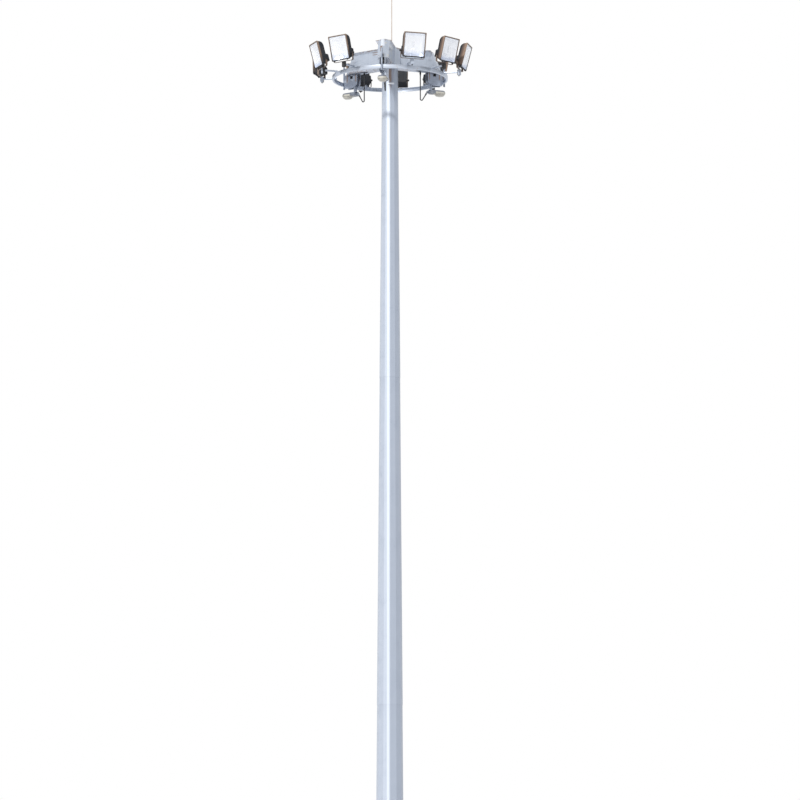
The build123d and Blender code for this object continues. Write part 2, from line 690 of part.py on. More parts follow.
# Floodlights: each a housing with its pivots, knobs and clips, and a front glass
for number, (angle, tilt) in enumerate(zip(LAMP_ANGLES, LAMP_AIMS), start=1):
    face, side = lamp_planes(angle, tilt)
    face_centre_y = PIVOT_FROM_TOP - LAMP_LENGTH / 2
    inner_width = HOUSING_WIDTH / 2 - HOUSING_WALL
    glass_width = LAMP_WIDTH - 2 * LAMP_FRAME_LIP
    glass_length = LAMP_LENGTH - 2 * LAMP_FRAME_LIP
    with BuildPart() as floodlight_housing:
        with BuildSketch(side):
            add(housing_outline.sketch)
        extrude(amount=HOUSING_WIDTH / 2, both=True)
        for rib in range(RIB_COUNT):
            with BuildSketch(side.offset((rib - (RIB_COUNT - 1) / 2) * RIB_SPACING)):
                add(rib_outline.sketch)
            extrude(amount=RIB_THICKNESS / 2, both=True)
        # Front frame, wider than the housing
        with BuildSketch(face.offset(PIVOT_BEHIND_FACE - LAMP_FRAME_DEPTH)):
            with Locations((0, face_centre_y)):
                RectangleRounded(LAMP_WIDTH, LAMP_LENGTH, LAMP_CORNER)
        extrude(amount=LAMP_FRAME_DEPTH)
        # Hollow inside, window and glass recess
        with BuildSketch(side):
            add(housing_hollow.sketch)
        extrude(amount=inner_width, both=True, mode=Mode.SUBTRACT)
        with BuildSketch(face.offset(PIVOT_BEHIND_FACE - LAMP_FRAME_DEPTH)):
            with Locations((0, face_centre_y)):
                RectangleRounded(
                    glass_width - 2 * GLASS_LEDGE, glass_length - 2 * GLASS_LEDGE, LAMP_CORNER
                )
        extrude(amount=LAMP_FRAME_DEPTH, mode=Mode.SUBTRACT)
        with BuildSketch(face.offset(PIVOT_BEHIND_FACE - GLASS_RECESS)):
            with Locations((0, face_centre_y)):
                RectangleRounded(glass_width, glass_length, LAMP_CORNER)
        extrude(amount=GLASS_RECESS, mode=Mode.SUBTRACT)
        # Clips that lock the glass door's lower edge
        with BuildSketch(face.offset(PIVOT_BEHIND_FACE - CLIP_DEPTH)):
            with Locations((0, PIVOT_FROM_TOP - LAMP_LENGTH - CLIP_DROP / 2)):
                with GridLocations(CLIP_SPACING, 0, 2, 1):
                    Rectangle(CLIP_WIDTH, CLIP_DROP)
        extrude(amount=CLIP_DEPTH)
        # Pivot bosses, pins through the yoke and outer knobs
        for sign in (-1, 1):
            for radius, start, end in (
                (BOSS_RADIUS, HOUSING_WIDTH / 2 - HOUSING_WALL, yoke_inner - SIDE_PLAY),
                (PIVOT_PIN / 2, yoke_inner - SIDE_PLAY, yoke_outer + SIDE_PLAY),
                (KNOB_RADIUS, yoke_outer + SIDE_PLAY, yoke_outer + SIDE_PLAY + KNOB_LENGTH),
            ):
                with BuildSketch(side.offset(sign * start)):
                    Circle(radius)
                extrude(amount=sign * (end - start))
    save(floodlight_housing, f"floodlight_{number}_housing")

    with BuildPart() as floodlight_glass:
        with BuildSketch(face.offset(PIVOT_BEHIND_FACE - GLASS_RECESS)):
            with Locations((0, face_centre_y)):
                RectangleRounded(
                    glass_width - 2 * GLASS_GAP, glass_length - 2 * GLASS_GAP, LAMP_CORNER
                )
        extrude(amount=GLASS_THICKNESS)
    save(floodlight_glass, f"floodlight_{number}_glass")

# Docking units: paired cheek plates on the ring, tied by the rope's anchor block
dock_outer = RING_OUTER_RADIUS - RING_WALL
cheek_end = sqrt(RING_INNER_RADIUS**2 - (DOCK_PLATE_SPACING / 2) ** 2) - RUNNING_GAP
with BuildSketch() as cheek_outline:
    Polygon(
        (DOCK_INNER_RADIUS, DOCK_TOP),
        (cheek_end, DOCK_TOP),
        (cheek_end, DOCK_BOTTOM),
        (DOCK_INNER_RADIUS + DOCK_TOE_LENGTH, DOCK_BOTTOM),
        (DOCK_INNER_RADIUS, DOCK_BOTTOM + DOCK_TOE_RISE),
        align=None,
    )
    fillet(cheek_outline.vertices().sort_by(Axis.Y)[:3], DOCK_TOE_CORNER)
    with Locations((DOCK_WINDOW_RADIUS, DOCK_WINDOW_HEIGHT)):
        RectangleRounded(DOCK_WINDOW, DOCK_WINDOW, DOCK_WINDOW_CORNER, mode=Mode.SUBTRACT)

with BuildPart() as docking_units:
    for angle in ARM_ANGLES:
        cheek = side_plane(angle, RING_HEIGHT)
        channel_depth = RING_DEPTH - 2 * RING_WALL
        for sign in (-1, 1):
            shift = sign * (DOCK_PLATE_SPACING - DOCK_PLATE) / 2
            with BuildSketch(cheek.offset(shift)):
                add(cheek_outline.sketch)
            extrude(amount=DOCK_PLATE / 2, both=True)
        # Tongues into the channel, between its flanges
        for sign in (-1, 1):
            shift = sign * (DOCK_PLATE_SPACING - DOCK_PLATE) / 2
            with BuildSketch(cheek.offset(shift)):
                with Locations(((RING_INNER_RADIUS + dock_outer) / 2 - DOCK_PLATE, 0)):
                    Rectangle(RING_FLANGE, channel_depth - 2 * RUNNING_GAP)
            extrude(amount=DOCK_PLATE / 2, both=True)
        # Anchor block between the cheeks
        with BuildSketch(plan_plane(angle, RING_HEIGHT + ANCHOR_BLOCK_TOP - ANCHOR_BLOCK_HEIGHT)):
            with Locations((ROPE_RADIUS_FROM_AXIS, 0)):
                Rectangle(ANCHOR_BLOCK_LENGTH, DOCK_PLATE_SPACING)
        extrude(amount=ANCHOR_BLOCK_HEIGHT)
        # Shelf that reaches in to hold the downlight lead's gland
        with BuildSketch(plan_plane(angle, RING_HEIGHT + DOCK_TOP - LEAD_SHELF)):
            with Locations(((LEAD_RADIUS_FROM_AXIS - GLAND_RADIUS - LEAD_SHELF, 0))):
                Rectangle(
                    DOCK_INNER_RADIUS + LEAD_SHELF_WIDTH - LEAD_RADIUS_FROM_AXIS
                    + GLAND_RADIUS + LEAD_SHELF,
                    DOCK_PLATE_SPACING,
                    align=(Align.MIN, Align.CENTER),
                )
        extrude(amount=LEAD_SHELF)
        # Guide post in front of the ring, on a foot against the channel's web
        post_radius = RING_OUTER_RADIUS + RUNNING_GAP + POST_DIAMETER / 2
        foot_plane = cross_plane(angle, RING_OUTER_RADIUS + RUNNING_GAP, RING_HEIGHT)
        with BuildSketch(foot_plane):
            Rectangle(POST_FOOT_WIDTH, POST_FOOT_HEIGHT)
        extrude(amount=POST_DIAMETER / 2)
        with BuildSketch(plan_plane(angle, RING_HEIGHT + POST_BOTTOM)):
            with Locations((post_radius, 0)):
                Circle(POST_DIAMETER / 2)
        extrude(amount=POST_TOP - POST_BOTTOM)
        with BuildSketch(plan_plane(angle, RING_HEIGHT + POST_BOTTOM)):
            with Locations((post_radius, 0)):
                Circle(POST_DIAMETER / 2 - POST_WALL)
        extrude(amount=POST_TOP - POST_BOTTOM - POST_WALL, mode=Mode.SUBTRACT)
save(docking_units, "docking_units")

# Downlight brackets: plate bolted between the cheeks, with a foot on the lamp's back
bracket_half = DOCK_PLATE_SPACING / 2 - DOCK_PLATE - RUNNING_GAP
with BuildPart() as downlight_brackets:
    for angle in ARM_ANGLES:
        with BuildSketch(side_plane(angle, RING_HEIGHT)):
            with Locations((BRACKET_RADIUS, BRACKET_TOP)):
                Rectangle(
                    BRACKET_BAR, BRACKET_TOP - DOWNLIGHT_TOP, align=(Align.CENTER, Align.MAX)
                )
            with Locations((BRACKET_RADIUS - BRACKET_FOOT_INNER, DOWNLIGHT_TOP)):
                Rectangle(
                    BRACKET_FOOT_INNER + BRACKET_FOOT_OUTER, BRACKET_BAR, align=Align.MIN
                )
        extrude(amount=bracket_half, both=True)
save(downlight_brackets, "downlight_brackets")

# Downlight housings: long cast canopies, necked at the inner end
downlight_end = DOWNLIGHT_INNER_RADIUS + DOWNLIGHT_LENGTH
neck_axis = DOWNLIGHT_TOP - DOWNLIGHT_DEPTH + DOWNLIGHT_NECK / 2
with BuildPart() as downlight_housings:
    for angle in ARM_ANGLES:
        body_start = DOWNLIGHT_INNER_RADIUS + DOWNLIGHT_NECK_LENGTH
        body_length = downlight_end - body_start
        for share, drop in ((DOWNLIGHT_CROWN, 0), (1, DOWNLIGHT_DEPTH / 2), (1, DOWNLIGHT_DEPTH)):
            width = share * DOWNLIGHT_WIDTH
            length = body_length - (1 - share) * DOWNLIGHT_WIDTH
            with BuildSketch(plan_plane(angle, RING_HEIGHT + DOWNLIGHT_TOP - drop)):
                with Locations((body_start + body_length / 2, 0)):
                    RectangleRounded(length, width, width * 0.42)
        loft(ruled=True)
        with BuildSketch(cross_plane(angle, DOWNLIGHT_INNER_RADIUS, RING_HEIGHT + neck_axis)):
            Circle(DOWNLIGHT_NECK / 2)
        extrude(amount=3 * DOWNLIGHT_NECK_LENGTH)
        # Elbow at the neck's end, with the lead's entry pointing in and down
        elbow = outward(angle) * DOWNLIGHT_INNER_RADIUS + Vector(0, 0, RING_HEIGHT + neck_axis)
        drop = Vector(0, 0, -sin(radians(ENTRY_ANGLE)))
        entry = drop - outward(angle) * cos(radians(ENTRY_ANGLE))
        with Locations(elbow):
            Sphere(DOWNLIGHT_NECK / 2)
        with BuildSketch(Plane(origin=elbow, x_dir=sideways(angle), z_dir=entry)):
            Circle(ENTRY_DIAMETER / 2)
        extrude(amount=ENTRY_LENGTH)
save(downlight_housings, "downlight_housings")

# Downlight bowls: moulded lens under the outer half of each canopy
with BuildPart() as downlight_bowls:
    for angle in ARM_ANGLES:
        bowl_centre = downlight_end - BOWL_LENGTH / 2 - LEAD_SHELF
        bowl_top = RING_HEIGHT + DOWNLIGHT_TOP - DOWNLIGHT_DEPTH
        for share, drop in ((1, 0), (0.9, 0.55), (0.55, 1)):
            with BuildSketch(plan_plane(angle, bowl_top - drop * BOWL_DEPTH)):
                with Locations((bowl_centre, 0)):
                    Ellipse(share * BOWL_LENGTH / 2, share * BOWL_WIDTH / 2)
        loft()
save(downlight_bowls, "downlight_bowls")

# Glands: where each lead is held under the shelf
with BuildPart() as lead_glands:
    for angle in ARM_ANGLES:
        with BuildSketch(plan_plane(angle, RING_HEIGHT + DOCK_TOP - LEAD_SHELF)):
            with Locations((LEAD_RADIUS_FROM_AXIS, 0)):
                RegularPolygon(GLAND_RADIUS, 6)
        extrude(amount=-GLAND_LENGTH)
save(lead_glands, "lead_glands")



def on_entry(distance):
    """A point on the entry's axis, that far from the elbow, as radius and height."""
    return (
        DOWNLIGHT_INNER_RADIUS - distance * cos(radians(ENTRY_ANGLE)),
        neck_axis - distance * sin(radians(ENTRY_ANGLE)),
    )


# Downlight leads: down from the gland, round a low loop and up into the lamp's elbow
lead_route = [
    (LEAD_RADIUS_FROM_AXIS, DOCK_TOP - LEAD_SHELF - GLAND_LENGTH),
    (LEAD_RADIUS_FROM_AXIS, LEAD_LOW_POINT + LEAD_LOOP_RISE),
    (LEAD_RADIUS_FROM_AXIS + LEAD_LOOP_STEP, LEAD_LOW_POINT),
    on_entry(ENTRY_LENGTH + LEAD_LAST_STRAIGHT),
    on_entry(ENTRY_LENGTH),
]
lead_points = [Vector(*point) for point in lead_route]
lead_radii = []
for before, corner, after in zip(lead_points, lead_points[1:], lead_points[2:]):
    turn = (corner - before).get_angle(after - corner)
    shorter = min((corner - before).length, (after - corner).length)
    lead_radii.append(0.45 * shorter / tan(radians(turn / 2)))
print("lead bend radii", [round(radius) for radius in lead_radii])
for number, angle in enumerate(ARM_ANGLES, start=1):
    with BuildPart() as downlight_lead:
        with BuildLine(side_plane(angle, RING_HEIGHT)) as route:
            FilletPolyline(*lead_route, radius=lead_radii)
        with BuildSketch(plan_plane(angle, RING_HEIGHT + lead_route[0][1])):
            with Locations((LEAD_RADIUS_FROM_AXIS, 0)):
                Circle(LEAD_DIAMETER / 2)
        sweep(path=route.wires()[0])
    print("lead length", round(route.wires()[0].length))
    save(downlight_lead, f"downlight_lead_{number}")
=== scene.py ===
"""Dresses the high mast floodlight tower: galvanised shaft, head frame and ring, and
nine floodlights and three downlights, in metres, with +Z up and the front at -Y."""
import json
import math

import bmesh
import bpy
import numpy as np
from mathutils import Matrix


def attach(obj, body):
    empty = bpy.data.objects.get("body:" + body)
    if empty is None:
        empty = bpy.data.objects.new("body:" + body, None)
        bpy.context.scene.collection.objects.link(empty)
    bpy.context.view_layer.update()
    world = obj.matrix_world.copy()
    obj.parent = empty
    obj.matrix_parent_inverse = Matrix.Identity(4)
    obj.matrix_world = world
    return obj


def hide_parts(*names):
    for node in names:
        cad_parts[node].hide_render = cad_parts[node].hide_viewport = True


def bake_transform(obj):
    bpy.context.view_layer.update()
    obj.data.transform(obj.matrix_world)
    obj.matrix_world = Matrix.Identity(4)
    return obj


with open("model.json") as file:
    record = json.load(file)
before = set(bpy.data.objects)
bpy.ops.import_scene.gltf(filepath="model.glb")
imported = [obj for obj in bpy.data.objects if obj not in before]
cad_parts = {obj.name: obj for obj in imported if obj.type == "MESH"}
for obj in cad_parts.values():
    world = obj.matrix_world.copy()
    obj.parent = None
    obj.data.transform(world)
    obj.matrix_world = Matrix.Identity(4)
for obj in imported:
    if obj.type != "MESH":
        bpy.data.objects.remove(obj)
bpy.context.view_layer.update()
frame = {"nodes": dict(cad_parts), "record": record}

scene = bpy.context.scene
nodes = frame["nodes"]

# The camera stands on the ground in front, and looks up at the head from far off
# through a long lens. The foot of the mast is below its view.
CAMERA_DISTANCE = 104.75
EYE_HEIGHT = 1.6
CAMERA_RISE = math.radians(7.63)
CAMERA_TURN = math.radians(0.141)
LENS = 186.3
FILM_WIDTH = 36

camera_data = bpy.data.cameras.new("camera")
camera_data.lens = LENS
camera_data.sensor_width = FILM_WIDTH
camera_data.clip_end = 1000
camera = bpy.data.objects.new("camera", camera_data)
camera.location = (0, -CAMERA_DISTANCE, EYE_HEIGHT)
camera.rotation_euler = (math.pi / 2 + CAMERA_RISE, 0, -CAMERA_TURN)
scene.collection.objects.link(camera)
scene.camera = camera
scene.view_settings.view_transform = "Standard"


class Signal:
    """A shader socket that arithmetic works on: each operator adds one Math node."""

    def __init__(self, paint, socket):
        self.paint = paint
        self.socket = socket

    def math(self, operation, *values):
        return self.paint.node("ShaderNodeMath", {"operation": operation}, values)

    def __add__(self, other):
        return self.math("ADD", self, other)

    def __sub__(self, other):
        return self.math("SUBTRACT", self, other)

    def __rsub__(self, other):
        return self.math("SUBTRACT", other, self)

    def __mul__(self, other):
        return self.math("MULTIPLY", self, other)

    def __truediv__(self, other):
        return self.math("DIVIDE", self, other)

    def __pow__(self, other):
        return self.math("POWER", self, other)

    def __abs__(self):
        return self.math("ABSOLUTE", self)

    def above(self, level, blur):
        """Rises from 0 to 1 as the signal passes level, over a width of blur."""
        rise = (self - (level - blur / 2)) / blur
        return rise.math("MINIMUM", rise.math("MAXIMUM", rise, 0.0), 1.0)

    def below(self, level, blur):
        return 1.0 - self.above(level, blur)

    __radd__ = __add__
    __rmul__ = __mul__


class Paint:
    """One material: a Principled shader and the nodes that feed it."""

    def __init__(self, name, roughness=0.5, metallic=0.0, coat=0.0):
        self.material = bpy.data.materials.new(name)
        self.material.use_nodes = True
        self.tree = self.material.node_tree
        self.shader = self.tree.nodes["Principled BSDF"]
        self.shader.inputs["Roughness"].default_value = roughness
        self.shader.inputs["Metallic"].default_value = metallic
        self.shader.inputs["Coat Weight"].default_value = coat
        self.place = self.node("ShaderNodeTexCoord", output="Object")
        self.x, self.y, self.z = self.split(self.place)

    def node(self, kind, settings=None, values=(), output=0):
        """Adds a node, sets its settings, then fills or links its sockets in order."""
        made = self.tree.nodes.new(kind)
        for key, setting in (settings or {}).items():
            setattr(made, key, setting)
        pairs = values.items() if isinstance(values, dict) else enumerate(values)
        for key, value in pairs:
            self.feed(made.inputs[key], value)
        return Signal(self, made.outputs[output])

    def feed(self, socket, value):
        if isinstance(value, Signal):
            self.tree.links.new(value.socket, socket)
        elif value is not None:
            socket.default_value = value

    def split(self, vector):
        made = self.tree.nodes.new("ShaderNodeSeparateXYZ")
        self.feed(made.inputs[0], vector)
        return [Signal(self, output) for output in made.outputs]

    def stretched(self, x, y, z):
        """Object coordinates scaled apart, for grain that runs one way."""
        return self.node(
            "ShaderNodeVectorMath", {"operation": "MULTIPLY"}, (self.place, (x, y, z))
        )

    def noise(self, scale, detail=3.0, rough=0.55, place=None):
        return self.node(
            "ShaderNodeTexNoise",
            values={
                "Vector": place or self.place,
                "Scale": scale,
                "Detail": detail,
                "Roughness": rough,
            },
        )

    def cells(self, scale):
        """A value for each crystal of a Voronoi pattern, as zinc spangle has."""
        colour = self.node(
            "ShaderNodeTexVoronoi",
            values={"Vector": self.place, "Scale": scale},
            output="Color",
        )
        return self.split(colour)[0]

    def mix(self, factor, first, second):
        made = self.tree.nodes.new("ShaderNodeMix")
        made.data_type = "RGBA"
        self.feed(made.inputs["Factor"], factor)
        self.feed(made.inputs[6], first)
        self.feed(made.inputs[7], second)
        return Signal(self, made.outputs[2])

    def colour(self, value):
        self.feed(self.shader.inputs["Base Color"], value)

    def roughness(self, value):
        self.feed(self.shader.inputs["Roughness"], value)

    def bump(self, height, distance, strength=1.0):
        normal = self.node(
            "ShaderNodeBump",
            values={"Strength": strength, "Distance": distance, "Height": height},
            output="Normal",
        )
        self.feed(self.shader.inputs["Normal"], normal)


def tone(red, green, blue):
    """A colour from screen values of 0 to 255, as linear light."""
    share = np.array([red, green, blue]) / 255
    linear = np.where(share <= 0.04045, share / 12.92, ((share + 0.055) / 1.055) ** 2.4)
    return (*linear.tolist(), 1.0)


def wear(piece, paint):
    """Gives a piece, or a CAD node, one material."""
    piece.data.materials.clear()
    piece.data.materials.append(paint.material)


# Ground and sky: a wide pale floor, a white sky seen by the camera, and a sun from
# the front left over soft light from all round.
FLOOR_RADIUS = 400.0
SUN_STRENGTH = 3.0
SUN_FROM_OVERHEAD = math.radians(52)
SUN_TURN = math.radians(-24)
SUN_WIDTH = math.radians(4)
SKY_STRENGTH = 0.55

floor_turn = np.linspace(0, 2 * np.pi, 97)[:-1]
floor_points = np.stack(
    [FLOOR_RADIUS * np.cos(floor_turn), FLOOR_RADIUS * np.sin(floor_turn), 0 * floor_turn], 1
)
floor_mesh = bpy.data.meshes.new("floor")
floor_mesh.from_pydata(floor_points.tolist(), [], [tuple(range(len(floor_turn)))])
floor = bpy.data.objects.new("floor", floor_mesh)
scene.collection.objects.link(floor)
floor_paint = Paint("floor", roughness=0.9)
floor_paint.colour(tone(243, 244, 246))
wear(floor, floor_paint)

world = bpy.data.worlds.new("sky")
world.use_nodes = True
scene.world = world
sky = world.node_tree
backing = sky.nodes["Background"]
backing.inputs["Color"].default_value = tone(238, 240, 245)
backing.inputs["Strength"].default_value = SKY_STRENGTH
seen = sky.nodes.new("ShaderNodeBackground")
seen.inputs["Color"].default_value = (1, 1, 1, 1)
rays = sky.nodes.new("ShaderNodeLightPath")
white = rays.outputs["Is Camera Ray"]
for kind in ("Is Glossy Ray", "Is Transmission Ray"):
    either = sky.nodes.new("ShaderNodeMath")
    either.use_clamp = True
    sky.links.new(white, either.inputs[0])
    sky.links.new(rays.outputs[kind], either.inputs[1])
    white = either.outputs[0]
chosen = sky.nodes.new("ShaderNodeMixShader")
sky.links.new(white, chosen.inputs[0])
sky.links.new(backing.outputs[0], chosen.inputs[1])
sky.links.new(seen.outputs[0], chosen.inputs[2])
sky.links.new(chosen.outputs[0], sky.nodes["World Output"].inputs[0])

sun_data = bpy.data.lights.new("sun", "SUN")
sun_data.energy = SUN_STRENGTH
sun_data.angle = SUN_WIDTH
sun_data.color = (1.0, 0.985, 0.96)
sun = bpy.data.objects.new("sun", sun_data)
sun.rotation_euler = (SUN_FROM_OVERHEAD, 0, SUN_TURN)
scene.collection.objects.link(sun)

# Shaft: twelve-sided tapered tubes of folded steel, hot-dip galvanised and slipped one
# over another. The zinc froze into faint spangles and has weathered to a blue grey.
SLIP_JOINTS = (7.85, 16.2)
ZINC_LIGHT = tone(188, 196, 209)
ZINC_MID = tone(176, 185, 199)
ZINC_DARK = tone(156, 165, 180)
RUST = tone(134, 112, 98)
RUST_PALE = tone(176, 165, 152)


def galvanised(name, streaks=1.0, metallic=0.45, roughness=0.36):
    """Zinc paint: cells for spangle, slow clouds for weathering, and streaks that are
    noise stretched down z. Gives the paint and its colour before any staining."""
    paint = Paint(name, metallic=metallic)
    spangle = paint.cells(60.0)
    cloud = paint.noise(3.0, 4.0)
    streak = paint.noise(7.0, 3.0, place=paint.stretched(4.0, 4.0, 0.1))
    share = spangle * 0.12 + cloud * 0.45 + streak * (0.22 * streaks)
    pale = paint.mix(share.above(0.42, 0.3), ZINC_LIGHT, ZINC_MID)
    shaded = paint.mix(share.above(0.6, 0.3), pale, ZINC_DARK)
    paint.colour(shaded)
    paint.roughness(spangle * 0.08 + cloud * 0.1 + (roughness - 0.09))
    paint.bump(spangle * 0.3 + cloud, 0.0004, 0.5)
    return paint, shaded


shaft_paint, shaft_colour = galvanised("galvanised_shaft")
# A rust run comes down the front from the ring's height
run_width = abs(shaft_paint.x - 0.002).below(0.034, 0.02)
run_height = shaft_paint.z.above(23.8, 0.3) * shaft_paint.z.below(24.26, 0.04)
run = run_width * run_height * shaft_paint.y.below(-0.15, 0.02)
# Beside it a painted shadow of the near arm, dark grey, narrows as it goes down
shadow_edge = (shaft_paint.z - 23.45) * 0.16
painted_shadow = (shaft_paint.x - shadow_edge).below(0.0, 0.02) * shaft_paint.x.above(0.0, 0.02)
painted_shadow = painted_shadow * shaft_paint.z.above(23.5, 0.1) * shaft_paint.y.below(-0.12, 0.02)
ragged = shaft_paint.noise(20.0, 4.0, place=shaft_paint.stretched(3.0, 3.0, 0.3))
run = run * ragged.above(0.38, 0.2)
# A faint darker band under each slip joint
for joint in SLIP_JOINTS:
    band = shaft_paint.z.below(joint, 0.01) * shaft_paint.z.above(joint - 0.25, 0.4)
    shaft_colour = shaft_paint.mix(band * 0.12, shaft_colour, ZINC_DARK)
# Splashed dirt at the foot
foot = shaft_paint.z.below(0.35, 0.7) * 0.5
shaft_colour = shaft_paint.mix(foot, shaft_colour, tone(150, 147, 138))
# Painted highlight and painted shade: the front bend is painted bright, and the facets to its
# right are painted darker
painted_bend_highlight = abs(shaft_paint.x + 0.045).below(0.03, 0.014) * shaft_paint.y.below(-0.12, 0.02)
painted_right_shade = shaft_paint.x.above(0.012, 0.012) * shaft_paint.y.below(-0.02, 0.02)
shaft_colour = shaft_paint.mix(painted_right_shade * 0.6, shaft_colour, ZINC_DARK)
shaft_colour = shaft_paint.mix(painted_bend_highlight * 0.7, shaft_colour, tone(218, 225, 236))
# Painted shadow of the near arm, beside the rust run
shaft_colour = shaft_paint.mix(painted_shadow * 0.6, shaft_colour, tone(139, 142, 158))
shaft_paint.colour(shaft_paint.mix(run * 0.95, shaft_colour, RUST))
for name in ("shaft_bottom", "shaft_middle", "shaft_top"):
    wear(nodes[name], shaft_paint)


class Shape:
    """Points and faces of one surface. Adding two shapes keeps them in one mesh."""

    def __init__(self, points, faces):
        self.points = np.asarray(points, float).reshape(-1, 3)
        self.faces = [list(face) for face in faces]

    def __add__(self, other):
        shift = len(self.points)
        later = [[index + shift for index in face] for face in other.faces]
        return Shape(np.concatenate([self.points, other.points]), self.faces + later)

    def __radd__(self, other):
        return self

    def at(self, origin, x=(1, 0, 0), y=(0, 1, 0), z=(0, 0, 1)):
        """The same shape with its own axes laid along x, y and z from an origin."""
        laid = self.points @ np.array([x, y, z], float) + np.array(origin, float)
        return Shape(laid, self.faces)

    def moved(self, x=0.0, y=0.0, z=0.0):
        return self.at((x, y, z))


def grid(points, close_rows=False, close_columns=False, cap=False):
    """Joins an m by n grid of points with quads. Rows or columns may close on
    themselves, and cap fills the first and last rows with one face each."""
    points = np.asarray(points, float)
    rows, columns = points.shape[:2]
    index = np.arange(rows * columns).reshape(rows, columns)
    if close_rows:
        index = np.concatenate([index, index[:1]])
    if close_columns:
        index = np.concatenate([index, index[:, :1]], 1)
    quads = np.stack([index[:-1, :-1], index[:-1, 1:], index[1:, 1:], index[1:, :-1]], -1)
    faces = quads.reshape(-1, 4).tolist()
    if cap:
        faces += [np.arange(columns)[::-1].tolist()]
        faces += [(np.arange(columns) + (rows - 1) * columns).tolist()]
    return Shape(points, faces)


def turned(profile, sides=24):
    """Turns a profile of (radius, height) pairs about z: each point of the profile
    makes a ring of sides points. A radius of 0 closes the end."""
    profile = np.asarray(profile, float)
    turn = np.arange(sides) * 2 * math.pi / sides
    radius, height = profile[:, :1], profile[:, 1:]
    points = np.stack(
        [radius * np.cos(turn), radius * np.sin(turn), height + 0 * turn], -1
    )
    return grid(points, close_columns=True)


def prism(outline, low, high):
    """A flat outline of (x, y) pairs raised from low to high, with both ends closed."""
    outline = np.asarray(outline, float)
    ends = [
        np.concatenate([outline, np.full((len(outline), 1), height)], 1) for height in (low, high)
    ]
    return grid(np.stack(ends), close_columns=True, cap=True)


def rounded(width, height, corner, steps=4):
    """Outline of a rectangle with quarter circles of a radius at its corners."""
    turn = np.linspace(0, np.pi / 2, steps + 1)
    quarters = []
    for k, (sx, sy) in enumerate(((1, 1), (-1, 1), (-1, -1), (1, -1))):
        angle = turn + k * np.pi / 2
        centre = np.array([sx * (width / 2 - corner), sy * (height / 2 - corner)])
        quarters.append(centre + corner * np.stack([np.cos(angle), np.sin(angle)], 1))
    return np.concatenate(quarters)


def slab(width, height, low, high, corner=0.004):
    """A plate with rounded corners, from low to high."""
    return prism(rounded(width, height, corner), low, high)


def tube(path, radius, sides=12, closed=False):
    """A round section carried along a path: at each point a circle stands square to
    the path, and its first direction is the last one's, made square again."""
    path = np.asarray(path, float)
    if closed:
        ahead = np.roll(path, -1, 0) - np.roll(path, 1, 0)
    else:
        ahead = np.gradient(path, axis=0)
    ahead /= np.linalg.norm(ahead, axis=1)[:, None]
    first = np.cross(ahead[0], (0.31, 0.47, 0.83))
    across = [first / np.linalg.norm(first)]
    for direction in ahead[1:]:
        side = across[-1] - direction * np.dot(across[-1], direction)
        across.append(side / np.linalg.norm(side))
    across = np.array(across)
    up = np.cross(ahead, across)
    turn = np.arange(sides) * 2 * np.pi / sides
    points = path[:, None] + radius * (
        across[:, None] * np.cos(turn)[:, None] + up[:, None] * np.sin(turn)[:, None]
    )
    return grid(points, close_rows=closed, close_columns=True, cap=not closed)


def piece(name, shape, paint, body, slot, smooth=35.0, bevel=0.0):
    """Makes one mesh object of a shape, at the origin, and rides it on a body."""
    mesh = bpy.data.meshes.new(name)
    mesh.from_pydata(shape.points.tolist(), [], shape.faces)
    work = bmesh.new()
    work.from_mesh(mesh)
    bmesh.ops.remove_doubles(work, verts=work.verts, dist=1e-6)
    bmesh.ops.recalc_face_normals(work, faces=work.faces)
    work.to_mesh(mesh)
    work.free()
    mesh.shade_smooth()
    mesh.set_sharp_from_angle(angle=math.radians(smooth))
    made = bpy.data.objects.new(name, mesh)
    scene.collection.objects.link(made)
    wear(made, paint)
    if bevel:
        edges = made.modifiers.new("edges", "BEVEL")
        edges.width = bevel
        edges.segments = 2
        edges.limit_method = "ANGLE"
        edges.angle_limit = math.radians(40)
    if body:
        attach(made, body)
    return made


def level(angle):
    """Unit vectors outward and sideways at an angle round the mast, in degrees."""
    turn = math.radians(angle)
    outward = np.array([math.cos(turn), math.sin(turn), 0.0])
    return outward, np.array([-outward[1], outward[0], 0.0])


UP = np.array([0.0, 0.0, 1.0])


def round_mast(shape, angle, radius=0.0, height=0.0):
    """Stands a shape at a radius: its x runs outward, y sideways and z up."""
    outward, sideways = level(angle)
    return shape.at(outward * radius + UP * height, outward, sideways, UP)


def bolt(size, head=0.65, washer=True, turn=0.0):
    """Hexagon head with a chamfered top on a round washer, sitting on z = 0."""
    lift = 0.12 * size if washer else 0.0
    height = head * size
    flats = [(0, lift), (0.9 * size, lift), (0.9 * size, lift + 0.85 * height)]
    flats += [(0.78 * size, lift + height), (0, lift + height)]
    cosine, sine = math.cos(turn), math.sin(turn)
    shape = turned(flats, 6).at((0, 0, 0), (cosine, sine, 0), (-sine, cosine, 0))
    if washer:
        shape += turned([(0, 0), (1.15 * size, 0), (1.15 * size, lift), (0, lift)], 20)
    return shape


SHAFT_FOOT_FLAT = 0.37
SHAFT_TAPER = 0.00755
SLIP_STEPS = (0.0053, 0.0043)


def shaft_flat(height):
    """Distance from the axis to a flat of the shaft, outside, at a height."""
    layers = sum(step * (height > joint) for step, joint in zip(SLIP_STEPS, SLIP_JOINTS))
    return SHAFT_FOOT_FLAT - SHAFT_TAPER * height + layers


